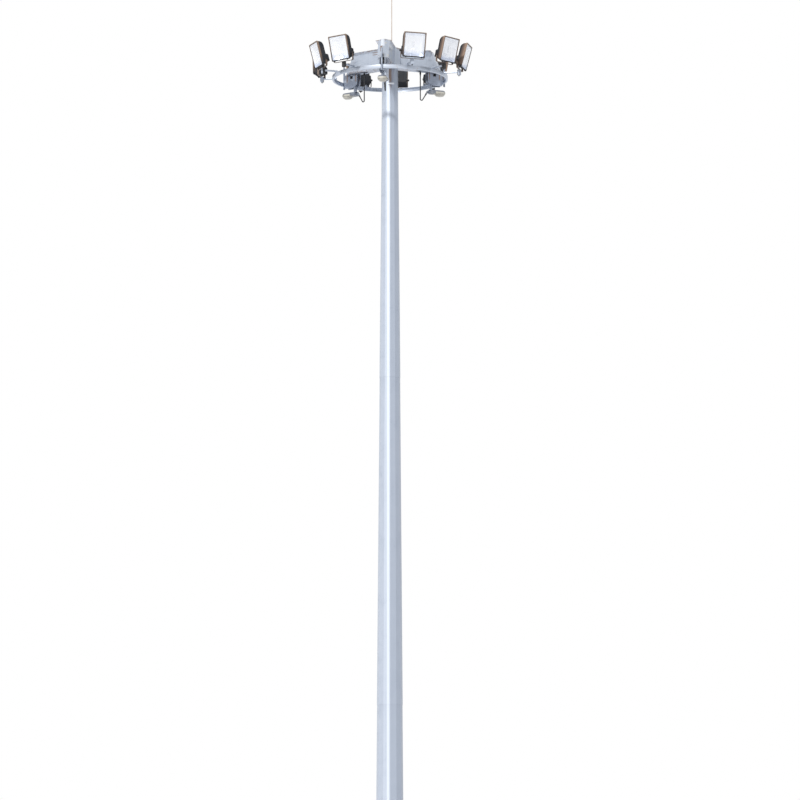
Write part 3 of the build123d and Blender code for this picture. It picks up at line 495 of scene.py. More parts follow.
# Weld seams on the shaft: one ground seam runs up the back flat of each section, and a
# bead joins the bottom section to the flange. They are steel weld under the same zinc.
SEAM_ANGLE = 105
SEAM_WIDTH = 0.009
SEAM_PROUD = 0.0016
weld_paint = galvanised("galvanised_weld", roughness=0.5)[0]
seams = 0
for start, end in ((0.06, 7.83), (7.87, 16.18), (16.22, 24.25)):
    heights = np.linspace(start, end, 60)
    reach = np.array([shaft_flat(height) for height in heights])
    outward, sideways = level(SEAM_ANGLE)
    ripple = SEAM_PROUD * (1 + 0.25 * np.sin(heights * 61.0))
    across = np.linspace(-1, 1, 5)
    crown = np.sqrt(np.maximum(1 - across**2, 0))
    points = (
        outward * (reach[:, None] + ripple[:, None] * crown - 0.0004)[..., None]
        + sideways * (SEAM_WIDTH * across)[None, :, None]
        + UP * heights[:, None, None]
    )
    seams += grid(points, close_columns=True, cap=True)
piece("shaft_seams", seams, weld_paint, "mast", "shaft_steel", smooth=80)

# The bead round the shaft's foot follows its twelve flats, and two beads run up and two
# out along each gusset
GUSSET_TOP = 0.29
GUSSET_END = 0.49
GUSSET_SIDE = 0.0095
BEAD = 0.0055

corner_turn = np.radians(np.arange(12) * 30.0)
foot_corner = shaft_flat(0.04) / math.cos(math.radians(15))
foot_path = np.stack([np.cos(corner_turn), np.sin(corner_turn), 0 * corner_turn], 1)
steps = np.linspace(0, 0.9, 8)[:, None]
foot_path = np.concatenate(
    [foot_path[k] + (foot_path[(k + 1) % 12] - foot_path[k]) * steps for k in range(12)]
)
foot_path = foot_path * (foot_corner + 0.001) + UP * 0.042
beads = tube(foot_path, 0.007, 8, closed=True)
for k in range(12):
    for side in (-1, 1):
        run_up = np.linspace(0.05, GUSSET_TOP, 24)
        line = [[shaft_flat(height) + 0.001, side * GUSSET_SIDE, height] for height in run_up]
        line = np.stack(line)
        line[:, 1] += side * 0.0008 * np.sin(run_up * 300)
        beads += round_mast(tube(line, BEAD, 8), 15 + 30 * k)
        run_out = np.linspace(shaft_flat(0.05) + 0.01, GUSSET_END, 18)
        line = np.stack([run_out, 0 * run_out + side * GUSSET_SIDE, 0 * run_out + 0.0415], 1)
        beads += round_mast(tube(line, BEAD, 8), 15 + 30 * k)
piece("base_welds", beads, weld_paint, "mast", "galvanised_steel", smooth=80)

# Base flange and gussets: thick plate, zinc over mill scale, with dirt where rain
# stands. Twelve studs hold it down, each with a nut, a lock nut and a square washer.
base_paint, base_colour = galvanised("galvanised_plate", roughness=0.48)
dirt = base_paint.z.below(0.06, 0.05) * base_paint.noise(9.0, 5.0).above(0.45, 0.25)
base_paint.colour(base_paint.mix(dirt * 0.6, base_colour, tone(139, 132, 120)))
for name in ("base_flange", "base_gussets", "earthing_boss"):
    wear(nodes[name], base_paint)

STUD_CIRCLE = 0.45
STUD_RADIUS = 0.018
studs = 0
for k in range(12):
    washer = slab(0.086, 0.086, 0.04, 0.048)
    nut = bolt(0.031, 0.9, washer=False, turn=0.2 * k).moved(z=0.048)
    lock = bolt(0.031, 0.5, washer=False, turn=0.9 + 0.3 * k).moved(z=0.0765)
    thread = np.linspace(0.001, 0.124, 53)
    wave = STUD_RADIUS - 0.0013 * (np.arange(53) % 2)
    rod = [[(0, 0.001)], np.stack([wave, thread], 1), [(0.011, 0.128), (0, 0.128)]]
    rod = turned(np.concatenate(rod), 20)
    studs += round_mast(washer + nut + lock + rod, 30 * k, STUD_CIRCLE)
stud_paint, stud_colour = galvanised("zinc_studs", roughness=0.42)
stud_spots = stud_paint.noise(70.0, 4.0).above(0.6, 0.1)
stud_paint.colour(stud_paint.mix(stud_spots * 0.7, stud_colour, RUST))
piece("anchor_studs", studs, stud_paint, "mast", "galvanised_steel")

# Access door: pressed steel lid on a rubber seal, hung on two hinges and shut by two
# triangle-key locks, with a stiffening rib down the middle.
DOOR_ANGLE = -75
DOOR_HEIGHT = 1.25
DOOR_FRONT = 0.019

door_out, door_side = level(DOOR_ANGLE)
door_up = np.cross(door_out + SHAFT_TAPER * UP, door_side)


def on_door(shape, sideways=0.0, up=0.0, proud=0.0):
    """Lays a shape on the door's flat: its x runs sideways, y up and z out."""
    origin = door_out * (shaft_flat(DOOR_HEIGHT) + proud) + UP * DOOR_HEIGHT
    origin += door_side * sideways + door_up * up
    return shape.at(origin, door_side, door_up, door_out)


for name in ("door_frame", "access_door"):
    wear(nodes[name], base_paint)
rib = on_door(prism(rounded(0.05, 0.86, 0.024, 8), -0.001, 0.004), proud=DOOR_FRONT)
locks = 0
for height in (-0.38, 0.38):
    socket = [(0, 0), (0.0145, 0), (0.0145, 0.004), (0.0115, 0.0055), (0.0075, 0.0055)]
    socket = turned(socket, 32)
    socket += turned([(0.0075, 0.0055), (0.0065, 0.001), (0, 0.001)], 3)
    locks += on_door(socket, 0.097, height, DOOR_FRONT + 0.005)
    pin = turned([(0, -0.052), (0.0055, -0.052), (0.0055, 0.052), (0, 0.052)], 12)
    pin = Shape(pin.points[:, [0, 2, 1]], pin.faces)
    locks += on_door(pin, -0.141, height, 0.014)
piece("door_rib", rib, base_paint, "mast", "galvanised_steel", bevel=0.002)
piece("door_locks", locks, stud_paint, "mast", "galvanised_steel")

rubber = Paint("black_rubber", roughness=0.75)
rubber_grain = rubber.noise(180.0, 3.0)
rubber.colour(rubber.mix(rubber_grain, tone(34, 34, 36), tone(52, 52, 55)))
rubber.bump(rubber_grain, 0.0003, 0.4)
seal = rounded(0.262, 1.162, 0.066, 8)
seal = np.concatenate([seal, np.zeros((len(seal), 1))], 1)
seal = tube(seal, 0.0035, 8, closed=True)
piece("door_seal", on_door(seal, proud=0.0125), rubber, "mast", "black_rubber")

# Head frame: folded and welded plate boxes, galvanised whole. Brown water marks sit
# along the top edges and round the rope slots under the prows.
ARM_ANGLES = (-98, 22, 142)
ARM_SIDE = 0.145
HEAD_LOW = 24.26
HEAD_HIGH = 24.78
PULLEY_REACH = 1.04
PULLEY_Z = 24.55

head_paint, head_colour = galvanised("galvanised_head", streaks=1.4)
ragged = head_paint.noise(14.0, 4.0)
edge_marks = head_paint.z.above(24.745, 0.04) * ragged.above(0.5, 0.12)
edge_marks = edge_marks * head_paint.z.below(HEAD_HIGH - 0.002, 0.002)
slot_marks = head_paint.z.below(24.33, 0.09) * ragged.above(0.54, 0.1)
marks = edge_marks * 0.75 + slot_marks * 0.5
# On the near arm: a painted highlight, a bright band on the prow, with a brown run under it, and
# matt beige scale beside them. On the left arm: two brown scrapes.
near = head_paint.y.below(-0.75, 0.1)
painted_prow_highlight = abs(head_paint.x + 0.188).below(0.048, 0.012) * head_paint.z.above(24.58, 0.02) * near
run_down = abs(head_paint.x + 0.222).below(0.028, 0.016) * head_paint.z.below(24.59, 0.02)
run_down = run_down * head_paint.z.above(24.43, 0.04) * near * ragged.above(0.36, 0.1)
scale = head_paint.noise(11.0, 5.0).above(0.56, 0.05)
scale = scale * abs(head_paint.x + 0.05).below(0.14, 0.03)
upper_scrape = abs(head_paint.z - 24.705).below(0.011, 0.008)
lower_scrape = abs(head_paint.z - 24.652).below(0.011, 0.008)
scrape = upper_scrape + lower_scrape
scrape = scrape * abs(head_paint.x + 0.375).below(0.075, 0.01)
head_colour = head_paint.mix(scale * 0.6, head_colour, tone(206, 201, 188))
# Painted highlight: the near prow's band is painted bright
head_colour = head_paint.mix(painted_prow_highlight, head_colour, tone(222, 228, 238))
marks = marks * (1 - painted_prow_highlight * 0.8) + run_down * 0.9 + scrape * 0.8
head_paint.colour(head_paint.mix(marks, head_colour, RUST))
for name in ("head_hub", "head_arm_1", "head_arm_2", "head_arm_3"):
    wear(nodes[name], head_paint)

# An ear flares out of one top corner of each arm where the prow starts
ear = [(-0.004, 0), (0.08, 0), (0.08, -0.012), (0.066, -0.04), (0.004, -0.15), (-0.004, -0.15)]
arm_ears = 0
arm_lids = 0
arm_bolts = 0
arm_welds = 0
pin_caps = 0
for angle in ARM_ANGLES:
    outward, sideways = level(angle)
    origin = outward * 0.93 - sideways * ARM_SIDE + UP * (HEAD_HIGH - 0.001)
    arm_ears += prism(ear, 0.0, 0.13).at(origin, -sideways, UP, outward)
    # A bolted lid on each arm's top gives reach to its pulley
    lid = slab(0.62, 0.27, 0.0, 0.004, 0.02).moved(0.72, 0, HEAD_HIGH)
    arm_lids += round_mast(lid, angle)
    for x in (0.44, 0.63, 0.81, 1.0):
        for y in (-0.115, 0.115):
            lid_bolt = bolt(0.0095).moved(x, y, HEAD_HIGH + 0.004)
            arm_bolts += round_mast(lid_bolt, angle)
    for sign in (-1, 1):
        # An upright bead where the arm's side meets the hub
        y = sign * (ARM_SIDE + 0.002)
        rise = np.linspace(HEAD_LOW, HEAD_HIGH - 0.08, 40)
        bead = np.stack([0 * rise + 0.236, 0 * rise + y + 0.0008 * np.sin(rise * 290), rise], 1)
        arm_welds += round_mast(tube(bead, BEAD, 8), angle)
        # Keeper plate and nut at each end of the pulley's pin
        cap = slab(0.11, 0.06, 0.0, 0.006, 0.01) + bolt(0.016).moved(z=0.006)
        cap += bolt(0.008).moved(0.04, 0, 0.006) + bolt(0.008).moved(-0.04, 0, 0.006)
        origin = outward * PULLEY_REACH + sideways * sign * ARM_SIDE + UP * PULLEY_Z
        pin_caps += cap.at(origin, -outward * sign, UP, sideways * sign)
piece("arm_ears", arm_ears, head_paint, "mast", "galvanised_steel", bevel=0.002)
piece("arm_lids", arm_lids, head_paint, "mast", "galvanised_steel", bevel=0.001)
piece("arm_bolts", arm_bolts, stud_paint, "mast", "galvanised_steel")
piece("arm_welds", arm_welds, weld_paint, "mast", "galvanised_steel", smooth=80)
piece("pin_keepers", pin_caps, stud_paint, "mast", "galvanised_steel")

# Hub: two lifting eyes and the rod's clamp bolts on the top plate
eyes = 0
for x, y in ((-0.12, 0.07), (-0.12, -0.07)):
    loop = np.linspace(0, 2 * np.pi, 33)[:-1]
    loop = np.stack([0.022 * np.cos(loop), 0 * loop, 0.028 + 0.022 * np.sin(loop)], 1)
    eye = tube(loop, 0.006, 10, closed=True)
    eye += turned([(0, 0), (0.02, 0), (0.02, 0.004), (0.009, 0.008), (0, 0.008)], 20)
    eyes += eye.moved(x, y, HEAD_HIGH)
for k in range(4):
    turn = math.radians(45 + 90 * k)
    x = 0.044 + 0.02 * math.cos(turn)
    eyes += bolt(0.008).moved(x, 0.02 * math.sin(turn), HEAD_HIGH + 0.0225)
piece("hub_eyes", eyes, stud_paint, "mast", "galvanised_steel")

# Front cleat: a short angle bolted to the shaft below the head, where the service
# ropes tie off
cleat = prism([(-0.078, -0.02), (0.078, -0.02), (0.078, 0.02), (-0.078, 0.02)], -0.03, 0.022)
cleat += bolt(0.008).moved(-0.05, 0, 0.022) + bolt(0.008).moved(0.05, 0, 0.022)
cleat = cleat.at((0.03, -0.205, 23.826), (1, 0, 0), (0, 0, 1), (0, -1, 0))
cleat_paint = Paint("cleat_zinc", roughness=0.4, metallic=0.1)
cleat_cloud = cleat_paint.noise(30.0, 3.0)
cleat_paint.colour(cleat_paint.mix(cleat_cloud, tone(240, 243, 248), tone(226, 230, 238)))
piece("front_cleat", cleat, cleat_paint, "mast", "galvanised_steel", bevel=0.002)

# Lightning rod: drawn copper gone brown, in a galvanised socket
rod_paint = Paint("weathered_copper", roughness=0.45, metallic=0.6)
rod_cloud = rod_paint.noise(16.0, 4.0, place=rod_paint.stretched(4, 4, 0.6))
rod_colour = rod_paint.mix(rod_cloud.above(0.45, 0.3), tone(196, 184, 174), tone(168, 148, 134))
socket = rod_paint.z.below(HEAD_HIGH + 0.09, 0.004)
rod_paint.colour(rod_paint.mix(socket, rod_colour, ZINC_MID))
wear(nodes["lightning_rod"], rod_paint)

# Pulleys: cast iron wheels, black paint worn brown in the grooves, on bright pins
iron = Paint("pulley_iron", roughness=0.55, metallic=0.3)
iron_cloud = iron.noise(30.0, 5.0)
iron.colour(iron.mix(iron_cloud.above(0.5, 0.2), tone(58, 56, 56), tone(104, 88, 76)))
iron.bump(iron_cloud, 0.0008, 0.6)
wear(nodes["pulley_wheels"], iron)
wear(nodes["pulley_pins"], stud_paint)

# Lifting ropes: six strands laid in a helix, from each pulley down to a socket on the
# docking unit. They lengthen as the ring goes down.
GROOVE_RADIUS = 0.14
ROPE_REACH = PULLEY_REACH + GROOVE_RADIUS
ROPE_LOW = 24.11
ROPE_HIGH = PULLEY_Z
ROPE_RADIUS = 0.005
STRAND = 0.0017
STRAND_OFFSET = 0.0033
LAY_LENGTH = 0.065

rope_paint = Paint("wire_rope", roughness=0.35, metallic=0.85)
rope_dirt = rope_paint.noise(90.0, 4.0)
rope_paint.colour(rope_paint.mix(rope_dirt, tone(150, 152, 156), tone(98, 92, 86)))
rise = np.linspace(ROPE_LOW, ROPE_HIGH, 90)
ropes = 0
for angle in ARM_ANGLES:
    for strand in range(6):
        turn = (rise - ROPE_LOW) / LAY_LENGTH * 2 * np.pi + strand * np.pi / 3
        path = np.stack([STRAND_OFFSET * np.cos(turn), STRAND_OFFSET * np.sin(turn), rise], 1)
        ropes += round_mast(tube(path, STRAND, 6), angle, ROPE_REACH)
ropes = piece("wire_ropes", ropes, rope_paint, None, "rope_steel", smooth=80)
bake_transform(ropes)
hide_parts("lifting_ropes")

# Rope over each pulley and back into the hub, and a swaged socket at its lower end
wraps = 0
sockets = 0
for angle in ARM_ANGLES:
    turn = np.linspace(0, np.pi * 0.5, 24)
    over_x = PULLEY_REACH + GROOVE_RADIUS * np.cos(turn)
    over = np.stack([over_x, 0 * turn, PULLEY_Z + GROOVE_RADIUS * np.sin(turn)], 1)
    back_z = np.full(30, PULLEY_Z + GROOVE_RADIUS)
    back = np.stack([np.linspace(1.0, 0.2, 30), np.zeros(30), back_z], 1)
    wraps += round_mast(tube(np.concatenate([over, back]), ROPE_RADIUS, 10), angle)
    socket = [(0, 0), (0.019, 0), (0.021, 0.012), (0.012, 0.05), (0.009, 0.075)]
    socket = turned(socket + [(0.0052, 0.08), (0, 0.08)], 20)
    sockets += round_mast(socket, angle, ROPE_REACH, ROPE_LOW)
piece("rope_wraps", wraps, rope_paint, "mast", "rope_steel", smooth=80)
piece("rope_sockets", sockets, stud_paint, "luminaire_ring", "rope_steel")

# Luminaire ring: channel rolled to a circle in three parts, web outside and toes
# inward, with rounded roots, bolted through inner splice plates.
RING_Z = 24.0
RING_OUTER = 1.49
RING_DEPTH = 0.1
RING_FLANGE = 0.05
RING_WALL = 0.007
ROOT_RADIUS = 0.006
BEND_RADIUS = 0.009
TOE_RADIUS = 0.002

ring_paint, ring_colour = galvanised(
    "galvanised_ring", streaks=0.4, metallic=0.5, roughness=0.33
)
drips = ring_paint.noise(26.0, 4.0, place=ring_paint.stretched(1.0, 1.0, 0.4))
drips = drips.above(0.66, 0.06)
ring_paint.colour(ring_paint.mix(drips * 0.6, ring_colour, RUST_PALE))


def quarter(x, y, radius, start, steps=4):
    """Points of a quarter circle about (x, y), from a start angle in degrees."""
    turn = np.radians(np.linspace(start, start + 90, steps + 1))
    return np.stack([x + radius * np.cos(turn), y + radius * np.sin(turn)], 1)


half = RING_DEPTH / 2
root = RING_OUTER - RING_WALL - ROOT_RADIUS
toe = RING_OUTER - RING_FLANGE
channel = np.concatenate(
    [
        quarter(RING_OUTER - BEND_RADIUS, half - BEND_RADIUS, BEND_RADIUS, 0),
        quarter(toe + TOE_RADIUS, half - TOE_RADIUS, TOE_RADIUS, 90, 2),
        quarter(toe + 0.004, half - RING_WALL + 0.004, 0.004, 180, 2),
        quarter(root, half - RING_WALL - ROOT_RADIUS, ROOT_RADIUS, 0, 3)[::-1],
        quarter(root, -half + RING_WALL + ROOT_RADIUS, ROOT_RADIUS, 270, 3)[::-1],
        quarter(toe + 0.004, -half + RING_WALL - 0.004, 0.004, 90, 2),
        quarter(toe + TOE_RADIUS, -half + TOE_RADIUS, TOE_RADIUS, 180, 2),
        quarter(RING_OUTER - BEND_RADIUS, -half + BEND_RADIUS, BEND_RADIUS, 270),
    ]
)
for number, angle in enumerate(ARM_ANGLES, start=1):
    turn = np.radians(np.linspace(angle - 59.97, angle + 59.97, 73))
    points = np.stack(
        [
            channel[:, 0] * np.cos(turn)[:, None],
            channel[:, 0] * np.sin(turn)[:, None],
            RING_Z + channel[:, 1] + 0 * turn[:, None],
        ],
        -1,
    )
    segment = grid(points, close_columns=True, cap=True)
    name = f"ring_channel_{number}"
    segment = piece(name, segment, ring_paint, "luminaire_ring", "galvanised_steel", smooth=30)
    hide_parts(f"ring_segment_{number}")
wear(nodes["ring_splices"], ring_paint)

splice_bolts = 0
for angle in ARM_ANGLES:
    for step in (-3.2, -1.6, 1.6, 3.2):
        for height in (-0.02, 0.02):
            outward, sideways = level(angle + 60 + step)
            origin = outward * RING_OUTER + UP * (RING_Z + height)
            splice_bolt = bolt(0.0095, turn=step).at(origin, sideways, UP, outward)
            splice_bolts += splice_bolt
piece("splice_bolts", splice_bolts, stud_paint, "luminaire_ring", "galvanised_steel")

# Docking units: welded cheeks under each arm, with a guide post before the ring. Brown runs stain
# their upright edges, and rubber buffers show in their windows. Darker blue-grey clouds over them
# are partly weathering and partly painted shade from the arms above.
dock_paint, dock_colour = galvanised("galvanised_docks", streaks=1.2)
weather_and_shade_cloud = dock_paint.noise(5.0, 4.0)
# The darker blue-grey is partly weathering and partly painted shade from the arm above
dock_colour = dock_paint.mix(weather_and_shade_cloud.above(0.42, 0.2) * 0.8, dock_colour, tone(128, 136, 152))
reach = (dock_paint.x**2 + dock_paint.y**2) ** 0.5
edges = abs(reach - 1.355).below(0.018, 0.012) + abs(reach - 1.075).below(0.016, 0.012)
ragged = dock_paint.noise(18.0, 4.0)
edges = edges * dock_paint.z.above(24.05, 0.05) * ragged.above(0.4, 0.15)
dock_paint.colour(dock_paint.mix(edges * 0.85, dock_colour, RUST))
wear(nodes["docking_units"], dock_paint)
buffers = 0
posts = 0
for angle in ARM_ANGLES:
    block = slab(0.084, 0.084, -0.062, 0.062, 0.02)
    outward, sideways = level(angle)
    buffers += block.at(outward * 1.28 + UP * 24.18, outward, UP, -sideways)
    for height in (-0.03, 0.03):
        for y in (-0.032, 0.032):
            origin = outward * 1.4905 + sideways * y + UP * (RING_Z + height)
            posts += bolt(0.0075).at(origin, sideways, UP, outward)
piece("dock_buffers", buffers, rubber, "luminaire_ring", "black_rubber", bevel=0.003)
piece("post_bolts", posts, stud_paint, "luminaire_ring", "galvanised_steel")

# Downlight leads: rubber-sheathed cables that hang free from the gland under each
# docking unit's shelf, turn in a low loop and go back up into the lamp's elbow.
LEAD_DIAMETER = 0.028
ENTRY_SLOPE = math.radians(58)
LEAD_ROUTE = [
    (0.846, 24.192),
    (0.846, 23.544),
    (0.846, 23.516),
    (0.867, 23.497),
    (0.8985, 23.4986),
    (0.9152, 23.5253),
    (1.00715, 23.67242),
]

lead_paint = Paint("lead_sheath", roughness=0.6)
lead_grain = lead_paint.noise(120.0, 3.0)
lead_paint.colour(lead_paint.mix(lead_grain, tone(26, 27, 29), tone(42, 43, 46)))
relief = [(0, 0), (0.021, 0), (0.0205, 0.006), (0.0155, 0.046), (0.0142, 0.048), (0, 0.048)]
relief = turned(relief, 20)
for number, angle in enumerate(ARM_ANGLES, start=1):
    outward, sideways = level(angle)
    line = bpy.data.curves.new(f"lead_{number}", "CURVE")
    line.dimensions = "3D"
    line.resolution_u = 16
    line.bevel_depth = LEAD_DIAMETER / 2
    line.bevel_resolution = 6
    spline = line.splines.new("NURBS")
    spline.points.add(len(LEAD_ROUTE) - 1)
    for point, (reach, height) in zip(spline.points, LEAD_ROUTE):
        point.co = (*(outward * reach + UP * height), 1)
    spline.order_u = 3
    spline.use_endpoint_u = True
    lead = bpy.data.objects.new(f"lead_{number}", line)
    scene.collection.objects.link(lead)
    wear(lead, lead_paint)
    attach(lead, "luminaire_ring")
    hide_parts(f"downlight_lead_{number}")
    start = outward * LEAD_ROUTE[0][0] + UP * LEAD_ROUTE[0][1]
    end = outward * LEAD_ROUTE[-1][0] + UP * LEAD_ROUTE[-1][1]
    fall = -outward * math.cos(ENTRY_SLOPE) - UP * math.sin(ENTRY_SLOPE)
    boots = relief.at(start, outward, -sideways, -UP)
    boots += relief.at(end, sideways, np.cross(fall, sideways), fall)
    boots = piece(f"lead_boots_{number}", boots, lead_paint, "luminaire_ring", "black_rubber")

# Stub arms: tubes held down on their saddles by U-bolts
wear(nodes["stub_arms"], ring_paint)
joints = {joint["name"]: joint for joint in frame["record"]["behaviour"]["joints"]}
LAMP_COUNT = 9
TUBE_AXIS = 0.082
U_BEND = 0.0285
pivots = [joints[f"floodlight_{k}_tilt"]["pos_m"] for k in range(1, LAMP_COUNT + 1)]
pivots = [np.array(pivot, float) for pivot in pivots]
lamp_angles = [math.degrees(math.atan2(pivot[1], pivot[0])) for pivot in pivots]
u_bolts = 0
for angle in lamp_angles:
    bend = np.linspace(0, np.pi, 17)
    legs = np.linspace(0, 1, 5)[1:, None]
    top = np.stack([0 * bend, U_BEND * np.cos(bend), TUBE_AXIS + U_BEND * np.sin(bend)], 1)
    down = np.array([0, 0, -0.058])
    path = np.concatenate([(top[:1] + down * legs)[::-1], top, top[-1:] + down * legs])
    shape = tube(path, 0.004, 8)
    for y in (-U_BEND, U_BEND):
        shape += bolt(0.0075).moved(0, y, 0.058)
    u_bolts += round_mast(shape, angle, 1.466, RING_Z)
piece("stub_u_bolts", u_bolts, stud_paint, "luminaire_ring", "galvanised_steel")

# Junction boxes: black cast boxes, lid outwards, a gland underneath. Three of them have
# been changed for bare ones.
BOX_LOW = 24.0
BOX_HIGH = 24.14
BOX_REACH = 1.82
BOX_FRONT = 1.858

box_paint = Paint("black_box", roughness=0.5)
box_grain = box_paint.noise(160.0, 3.0)
box_cloud = box_paint.noise(7.0, 3.0)
black = box_paint.mix(box_cloud, tone(30, 30, 32), tone(56, 55, 56))
# Places along x tell the changed boxes from the rest
changed = abs(box_paint.x - pivots[0][0]).below(0.1, 0.01)
for k in (2, 6):
    changed += abs(box_paint.x - pivots[k][0]).below(0.05, 0.01)
box_paint.colour(box_paint.mix(changed, black, ZINC_MID))
box_paint.bump(box_grain, 0.0003, 0.5)
wear(nodes["junction_boxes"], box_paint)
lid_screw = [(0, 0.007), (0.005, 0.007), (0.005, 0.009), (0.0035, 0.0105), (0, 0.0105)]
lid_screw = turned(lid_screw, 14)
gland = [(0, 0.002), (0.015, 0.002), (0.015, -0.01), (0.0115, -0.014), (0.0115, -0.024)]
gland = turned(gland + [(0.008, -0.03), (0, -0.03)], 6)
lids = 0
glands = 0
for angle in lamp_angles:
    outward, sideways = level(angle)
    lid = slab(0.072, 0.122, 0.0, 0.007, 0.01)
    for x in (-0.027, 0.027):
        for y in (-0.051, 0.051):
            lid += lid_screw.moved(x, y)
    middle = outward * BOX_FRONT + UP * (BOX_LOW + BOX_HIGH) / 2
    lids += lid.at(middle, sideways, UP, outward)
    glands += round_mast(gland, angle, BOX_REACH, BOX_LOW)
piece("junction_lids", lids, box_paint, "luminaire_ring", "black_box", bevel=0.001)
piece("junction_glands", glands, rubber, "luminaire_ring", "black_rubber")

# Yokes: flat bar bent to a U, brown primer weathered grey, with two bolts through the
# middle into the box
yoke_paint = Paint("yoke_steel", roughness=0.5, metallic=0.25)
yoke_cloud = yoke_paint.noise(11.0, 4.0)
yoke_fleck = yoke_paint.noise(70.0, 3.0).above(0.6, 0.1)
yoke_colour = yoke_paint.mix(yoke_cloud.above(0.5, 0.3), tone(116, 98, 86), tone(86, 75, 68))
yoke_paint.colour(yoke_paint.mix(yoke_fleck * 0.35, yoke_colour, tone(160, 155, 152)))
yoke_paint.bump(yoke_cloud, 0.0006, 0.5)
wear(nodes["floodlight_yokes"], yoke_paint)
yoke_bolts = 0
for angle in lamp_angles:
    for y in (-0.024, 0.024):
        yoke_bolt = bolt(0.0095).moved(0, y, BOX_HIGH + 0.006)
        yoke_bolts += round_mast(yoke_bolt, angle, 1.825)
piece("yoke_bolts", yoke_bolts, stud_paint, "luminaire_ring", "galvanised_steel")

# Floodlights: die-cast aluminium in a dark powder coat. Painted sunlight: warm brown on the front
# frame's upper part, and on the housing sides of the right-hand lamps. Each rides on its own
# pivots. Its own axes are x sideways, y up the face and z out of it, from the pivots.
LAMP_AIMS = (15, 15, 15, 15, 15, 15, 2, 15, 15)
PIVOT_REACH = 1.84
PIVOT_Z = 24.335
AIM_COSINE = 0.966
AIM_SINE = 0.259
FACE_CENTRE = 0.173
CAPSULE_DEPTH = 0.082

lamp_paint = Paint("lamp_casting", roughness=0.66)
lamp_paint.shader.inputs["Specular IOR Level"].default_value = 0.2
lamp_reach = (lamp_paint.x**2 + lamp_paint.y**2) ** 0.5 - PIVOT_REACH
lamp_rise = lamp_paint.z - PIVOT_Z
lamp_out = lamp_reach * AIM_COSINE - lamp_rise * AIM_SINE
lamp_along = lamp_reach * AIM_SINE + lamp_rise * AIM_COSINE
lamp_cloud = lamp_paint.noise(5.0, 4.0)
lamp_grain = lamp_paint.noise(260.0, 2.0)
lamp_fleck = lamp_paint.noise(34.0, 4.0).above(0.62, 0.1)
lamp_colour = lamp_paint.mix(lamp_cloud.above(0.5, 0.3), tone(38, 43, 49), tone(47, 48, 52))
# Painted sunlight: warm brown on the housing front of the right-hand lamps and on the upper part
# of each front frame
painted_sunlit_side = lamp_out.above(0.075, 0.08) * lamp_along.above(-0.09, 0.06)
painted_sunlit_side = painted_sunlit_side * lamp_paint.x.above(0.6, 1.0)
painted_lit_frame_top = lamp_out.above(0.112, 0.012) * lamp_along.above(0.05, 0.3)
lamp_colour = lamp_paint.mix(painted_sunlit_side * 0.85, lamp_colour, tone(134, 112, 98))
lamp_colour = lamp_paint.mix(painted_lit_frame_top * 0.75, lamp_colour, tone(150, 128, 112))
lamp_paint.colour(lamp_paint.mix(lamp_fleck * 0.25, lamp_colour, tone(96, 82, 74)))
lamp_paint.bump(lamp_grain, 0.0003, 0.5)

trim_paint = Paint("lamp_trim", roughness=0.45, metallic=0.35)
trim_cloud = trim_paint.noise(13.0, 4.0)
trim_colour = trim_paint.mix(trim_cloud.above(0.5, 0.25), tone(134, 118, 108), tone(96, 88, 84))
# Painted shade: the trim's lower part is painted near black
painted_trim_shade = trim_paint.z.below(24.42, 0.16)
trim_paint.colour(trim_paint.mix(painted_trim_shade * 0.85, trim_colour, tone(40, 42, 46)))

mirror = Paint("lamp_reflector", roughness=0.35, metallic=1.0)
brushing = mirror.noise(4.0, 2.0)
mirror_colour = mirror.mix(brushing, tone(253, 254, 255), tone(248, 250, 254))
# Painted shade: the pan's lower part is painted pale blue-grey
mirror.colour(mirror.mix(mirror.z.below(24.3, 0.1), mirror_colour, tone(196, 207, 229)))

glass = Paint("lamp_glass", roughness=0.04)
glass.shader.inputs["Alpha"].default_value = 0.14
glass_dust = glass.noise(8.0, 4.0)
glass.colour(glass.mix(glass_dust, tone(246, 248, 252), tone(252, 253, 255)))

quartz = Paint("lamp_quartz", roughness=0.1, coat=0.4)
quartz.shader.inputs["Alpha"].default_value = 0.25
quartz_cloud = quartz.noise(40.0, 2.0)
quartz.colour(quartz.mix(quartz_cloud, tone(244, 246, 250), tone(228, 232, 240)))

# Reflector pan: outline rings shrink to the centre as the depth grows, depth being
# one less the ring's share to the fifth power
share = np.concatenate([np.linspace(0.06, 0.9, 18), np.linspace(0.92, 1.0, 8)])
rim = rounded(0.528, 0.578, 0.035, 8)
depth = 0.112 * (1 - share**5)
across = share[:, None] * rim[:, 0]
along = share[:, None] * rim[:, 1] + FACE_CENTRE
front = np.stack([across, along, 0.1385 - depth[:, None] + 0 * across], -1)
back = front[::-1] - np.array([0, 0, 0.0018])
pan = grid(np.concatenate([front, back]), close_columns=True, cap=True)
capsule = [(0, -0.1), (0.011, -0.1), (0.012, -0.075), (0.021, -0.06), (0.023, 0.0), (0.021, 0.06)]
capsule = turned(capsule + [(0.012, 0.075), (0.01, 0.095), (0, 0.098)], 20)
capsule = capsule.at((0, FACE_CENTRE, CAPSULE_DEPTH), (1, 0, 0), (0, 0, -1), (0, 1, 0))
holder = turned([(0, -0.02), (0.024, -0.02), (0.024, 0.02), (0.016, 0.034), (0, 0.034)], 20)
holder_place = (0, FACE_CENTRE - 0.13, CAPSULE_DEPTH)
holder = holder.at(holder_place, (1, 0, 0), (0, 0, -1), (0, 1, 0))
holder += slab(0.03, 0.03, 0.02, 0.08, 0.006).moved(0, FACE_CENTRE - 0.14, 0)

